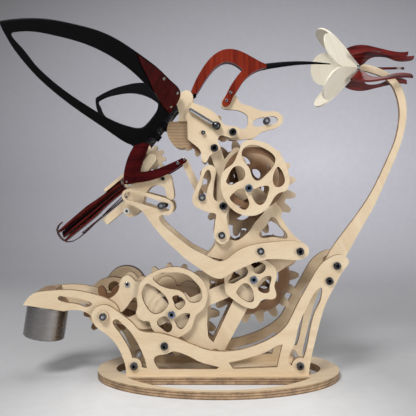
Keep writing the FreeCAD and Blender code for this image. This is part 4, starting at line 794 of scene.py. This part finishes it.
def tail_strip():
    """Thin strip that runs under the leaves and loops round their tips."""
    bm = bmesh.new()
    spots = [tail_spot(*point) for point in STRIP_PATH]
    ends = [bm.verts.new((spots[0] + Vector((0, y, 0))) * MM) for y in (-STRIP_HALF_WIDTH, STRIP_HALF_WIDTH)]
    drawn_out(bm, bm.edges.new(ends), [(b - a) * MM for a, b in zip(spots, spots[1:])])
    bmesh.ops.recalc_face_normals(bm, faces=bm.faces)
    bmesh.ops.solidify(bm, geom=list(bm.faces), thickness=STRIP_THICK * MM)
    return bm


class AUTOMATON_OT_tail_leaves(bpy.types.Operator):
    """Builds the stack of seven thin leaves and the strip that loops round its end"""
    bl_idname = "automaton.tail_leaves"
    bl_label = "Build the tail leaves"

    def execute(self, context):
        woods = context.scene.automaton_woods
        red = red_wood("leaf_red", woods, woods.feather_light, woods.red_dark, 40, bands=420.0)
        black = black_satin("leaf_black", woods)
        near = ((1, -3), (-2, -6), (3, -9))
        far = ((-1, 3), (2, 6), (-3, 9))
        for name, body, node, leaves, material, slot in (
                ("leaf_middle", "tail", "tail_feather_middle", ((0, 0),), black, "black_composite"),
                ("leaves_near", "tail_near", "tail_feathers_near", near, red, "red_hardwood"),
                ("leaves_far", "tail_far", "tail_feathers_far", far, red, "red_hardwood")):
            bm = bmesh.new()
            for layer, turn in leaves:
                tail_leaf(bm, layer, turn)
            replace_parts(place_mesh(bm, name, material, body), node)
        place_mesh(tail_strip(), "tail_strip", red, "tail")
        return {"FINISHED"}


# The threaded rod under the feathers: where it starts as (along, under), its radii and its thread, in mm.
ROD_START = (20.5, 13.6)
ROD_RADIUS = 1.5
ROD_ROOT_RADIUS = 1.15
ROD_PITCH = 1.2
ROD_TURNS = 60
ROD_TIP_RADIUS = 0.9
ROD_TIP_LENGTH = 0.4
# Where the tail frame's washer and pin sit, as (x, y, z) in mm.
FRAME_PIN = (-112.8, -13.7, 204.9)
# The rounded end of the pushrod: its middle, the way it lies and its stations, in mm.
ROD_END = (-2.6, -29.0, 308.1)
ROD_END_WAY = (0.843, 0.0, -0.538)
ROD_END_STATIONS = [(-5.6, 0.0), (-5.6, 2.6), (-4.6, 3.4), (-3.2, 4.4), (-1.2, 5.0), (1.2, 5.0), (3.2, 4.2),
                    (4.4, 2.8), (5.0, 0.0)]


def thread_stations():
    """Outline of the threaded rod: a square start, its turns, and a bevelled tip."""
    stations = [(0.0, 0.0), (0.0, ROD_RADIUS)]
    for n in range(ROD_TURNS):
        crest = (n + 0.5) * ROD_PITCH
        stations += [(crest, ROD_RADIUS), (crest + ROD_PITCH / 2, ROD_ROOT_RADIUS)]
    last = (ROD_TURNS + 1) * ROD_PITCH
    end = last + ROD_TIP_LENGTH
    return stations + [(last, ROD_RADIUS), (end, ROD_TIP_RADIUS), (end, 0.0)]


class AUTOMATON_OT_tail_fittings(bpy.types.Operator):
    """Adds the threaded rod under the feathers, the tail frame's washer and pin, and the pushrod's end"""
    bl_idname = "automaton.tail_fittings"
    bl_label = "Add the tail's fittings"

    def execute(self, context):
        metals = context.scene.automaton_metals
        bright = turned_steel("rod_steel", metals.steel, even(900), 0.2, 0.34)
        rod = turned_profile(tail_spot(*ROD_START), TAIL_ALONG, thread_stations())
        place_mesh(rod, "tail_rod", bright, "tail")
        bm = bmesh.new()
        washer(bm, facing(FRAME_PIN, FORWARDS), outer=3.9 * MM, inner=1.4 * MM, height=0.9 * MM)
        place_mesh(bm, "tail_frame_washer", mottled_washer("pale_washer", metals), "bird")
        bm = bmesh.new()
        socket_head(bm, facing(FRAME_PIN, FORWARDS), radius=1.6 * MM, height=1.6 * MM)
        place_mesh(bm, "tail_frame_pin", oxide("pin_black", metals, metals.oxide), "bird")
        end = turned_profile(ROD_END, ROD_END_WAY, ROD_END_STATIONS)
        place_mesh(end, "pushrod_end", oxide("rod_end_black", metals, metals.oxide), "bird")
        return {"FINISHED"}


# ---- stage ----------------------------------------------------------------------------------------------
# Paper sweep: half its width, its front edge, and the steps of its outline as (y, z), in metres.
SWEEP_HALF_WIDTH = 4.0
SWEEP_FRONT = -3.0
SWEEP_STEPS = ((3.7, 0.0), (0.10, 0.01), (0.09, 0.04), (0.06, 0.08), (0.03, 0.10), (0.0, 3.2))
# Lamps: name, place, what they look at, size, in metres, and watts.
LAMPS = (
    ("key", (-0.55, -1.1, 1.5), (0.0, 0.0, 0.2), 0.55, 22.0),
    ("fill", (1.05, -1.15, 0.40), (0.1, 0.0, 0.3), 0.6, 8.0),
    ("top", (0.1, 0.3, 1.7), (0.0, 0.0, 0.1), 1.0, 7.5),
)


def paper(stage):
    """Grey paper with painted pools of light, lightest on the floor round the object and on the wall behind
    it.
    """
    f = Finish("paper")
    spots = f.parts("Object")
    # Painted light: bright pools on the wall and on the floor round the object, falling off to darker grey
    # away from them.
    behind = reach(f, (spots["X"], 0.30, 0.75), (spots["Z"], 0.30, 1.6))
    wall = f.mix(f.span(behind, 0.0, 1.05), stage.painted_glow, stage.wall)
    below = reach(f, (spots["X"], -0.02, 1.0), (spots["Y"], -0.09, 1.0))
    floor = f.mix(f.span(below, 0.11, 0.25), stage.floor, stage.floor_edge)
    floor = f.mix(f.span(below, 0.25, 0.80), floor, stage.floor_far)
    fibre = f.noise(f.stretch(even(60)), detail=4)
    tone = f.mix(f.span(spots["Y"], 0.55, 0.98), floor, wall)
    f.colour(f.mix(f.span(fibre, 0.3, 0.7, 0.0, 0.06), tone, stage.fibre))
    f.rough(0.9)
    f.whole("Specular IOR Level", 0.1)
    return f.material


def paper_sweep(stage):
    """Floor that curves up into a wall behind the object."""
    bm = bmesh.new()
    front = [bm.verts.new((x, SWEEP_FRONT, 0.0)) for x in (-SWEEP_HALF_WIDTH, SWEEP_HALF_WIDTH)]
    drawn_out(bm, bm.edges.new(front), [(0.0, y, z) for y, z in SWEEP_STEPS])
    bmesh.ops.recalc_face_normals(bm, faces=bm.faces)
    for face in bm.faces:
        face.smooth = True
    mesh = bpy.data.meshes.new("paper_sweep")
    bm.to_mesh(mesh)
    bm.free()
    sweep = bpy.data.objects.new("paper_sweep", mesh)
    bpy.context.scene.collection.objects.link(sweep)
    mesh.materials.append(paper(stage))


def lamp(name, place, target, size, watts):
    """Square area lamp that looks at a target."""
    light = bpy.data.lights.new(name, "AREA")
    light.size = size
    light.energy = watts
    item = bpy.data.objects.new(name, light)
    item.location = place
    item.rotation_euler = (Vector(target) - Vector(place)).to_track_quat("-Z", "Y").to_euler()
    bpy.context.scene.collection.objects.link(item)


def front_camera(stage):
    """Level camera in front of the object, looking along +Y."""
    camera = bpy.data.cameras.new("camera")
    camera.lens = stage.lens
    camera.sensor_width = 36.0
    camera.shift_y = stage.shift
    view = bpy.data.objects.new("camera", camera)
    view.location = (-stage.aside, -stage.distance, stage.height)
    view.rotation_euler = (math.radians(90.0), 0.0, 0.0)
    bpy.context.scene.collection.objects.link(view)
    return view


class AUTOMATON_OT_stage(bpy.types.Operator):
    """Builds the paper sweep, the lamps and the camera"""
    bl_idname = "automaton.stage"
    bl_label = "Build the stage"

    def execute(self, context):
        stage = context.scene.automaton_stage
        paper_sweep(stage)
        for name, place, target, size, watts in LAMPS:
            lamp(name, place, target, size, watts)
        world = bpy.data.worlds.new("studio")
        world.use_nodes = True
        sky = world.node_tree.nodes["Background"]
        sky.inputs["Color"].default_value = stage.sky
        sky.inputs["Strength"].default_value = stage.sky_strength
        context.scene.world = world
        context.scene.camera = front_camera(stage)
        context.scene.view_settings.view_transform = "Standard"
        return {"FINISHED"}


# ---- add-on ---------------------------------------------------------------------------------------------
class AUTOMATON_PT_panel(bpy.types.Panel):
    """Lists the steps that dress the automaton"""
    bl_label = "Automaton"
    bl_idname = "AUTOMATON_PT_panel"
    bl_space_type = "VIEW_3D"
    bl_region_type = "UI"
    bl_category = "Automaton"

    def draw(self, context):
        for step in STEPS:
            self.layout.operator(step.bl_idname)


STEPS = (AUTOMATON_OT_stage, AUTOMATON_OT_finish_woods, AUTOMATON_OT_finish_metals,
         AUTOMATON_OT_socket_screws, AUTOMATON_OT_silver_screws, AUTOMATON_OT_plates_and_rings,
         AUTOMATON_OT_tail_leaves, AUTOMATON_OT_tail_fittings)
GROUPS = (AutomatonWoods, AutomatonMetals, AutomatonStage)


def register():
    for item in GROUPS + STEPS + (AUTOMATON_PT_panel,):
        bpy.utils.register_class(item)
    bpy.types.Scene.automaton_woods = bpy.props.PointerProperty(type=AutomatonWoods)
    bpy.types.Scene.automaton_metals = bpy.props.PointerProperty(type=AutomatonMetals)
    bpy.types.Scene.automaton_stage = bpy.props.PointerProperty(type=AutomatonStage)


def unregister():
    del bpy.types.Scene.automaton_stage
    del bpy.types.Scene.automaton_metals
    del bpy.types.Scene.automaton_woods
    for item in reversed(GROUPS + STEPS + (AUTOMATON_PT_panel,)):
        bpy.utils.unregister_class(item)


def main():
    register()
    bpy.ops.automaton.stage()
    bpy.ops.automaton.finish_woods()
    bpy.ops.automaton.finish_metals()
    bpy.ops.automaton.socket_screws()
    bpy.ops.automaton.silver_screws()
    bpy.ops.automaton.plates_and_rings()
    bpy.ops.automaton.tail_leaves()
    bpy.ops.automaton.tail_fittings()


if __name__ == "__main__":
    main()
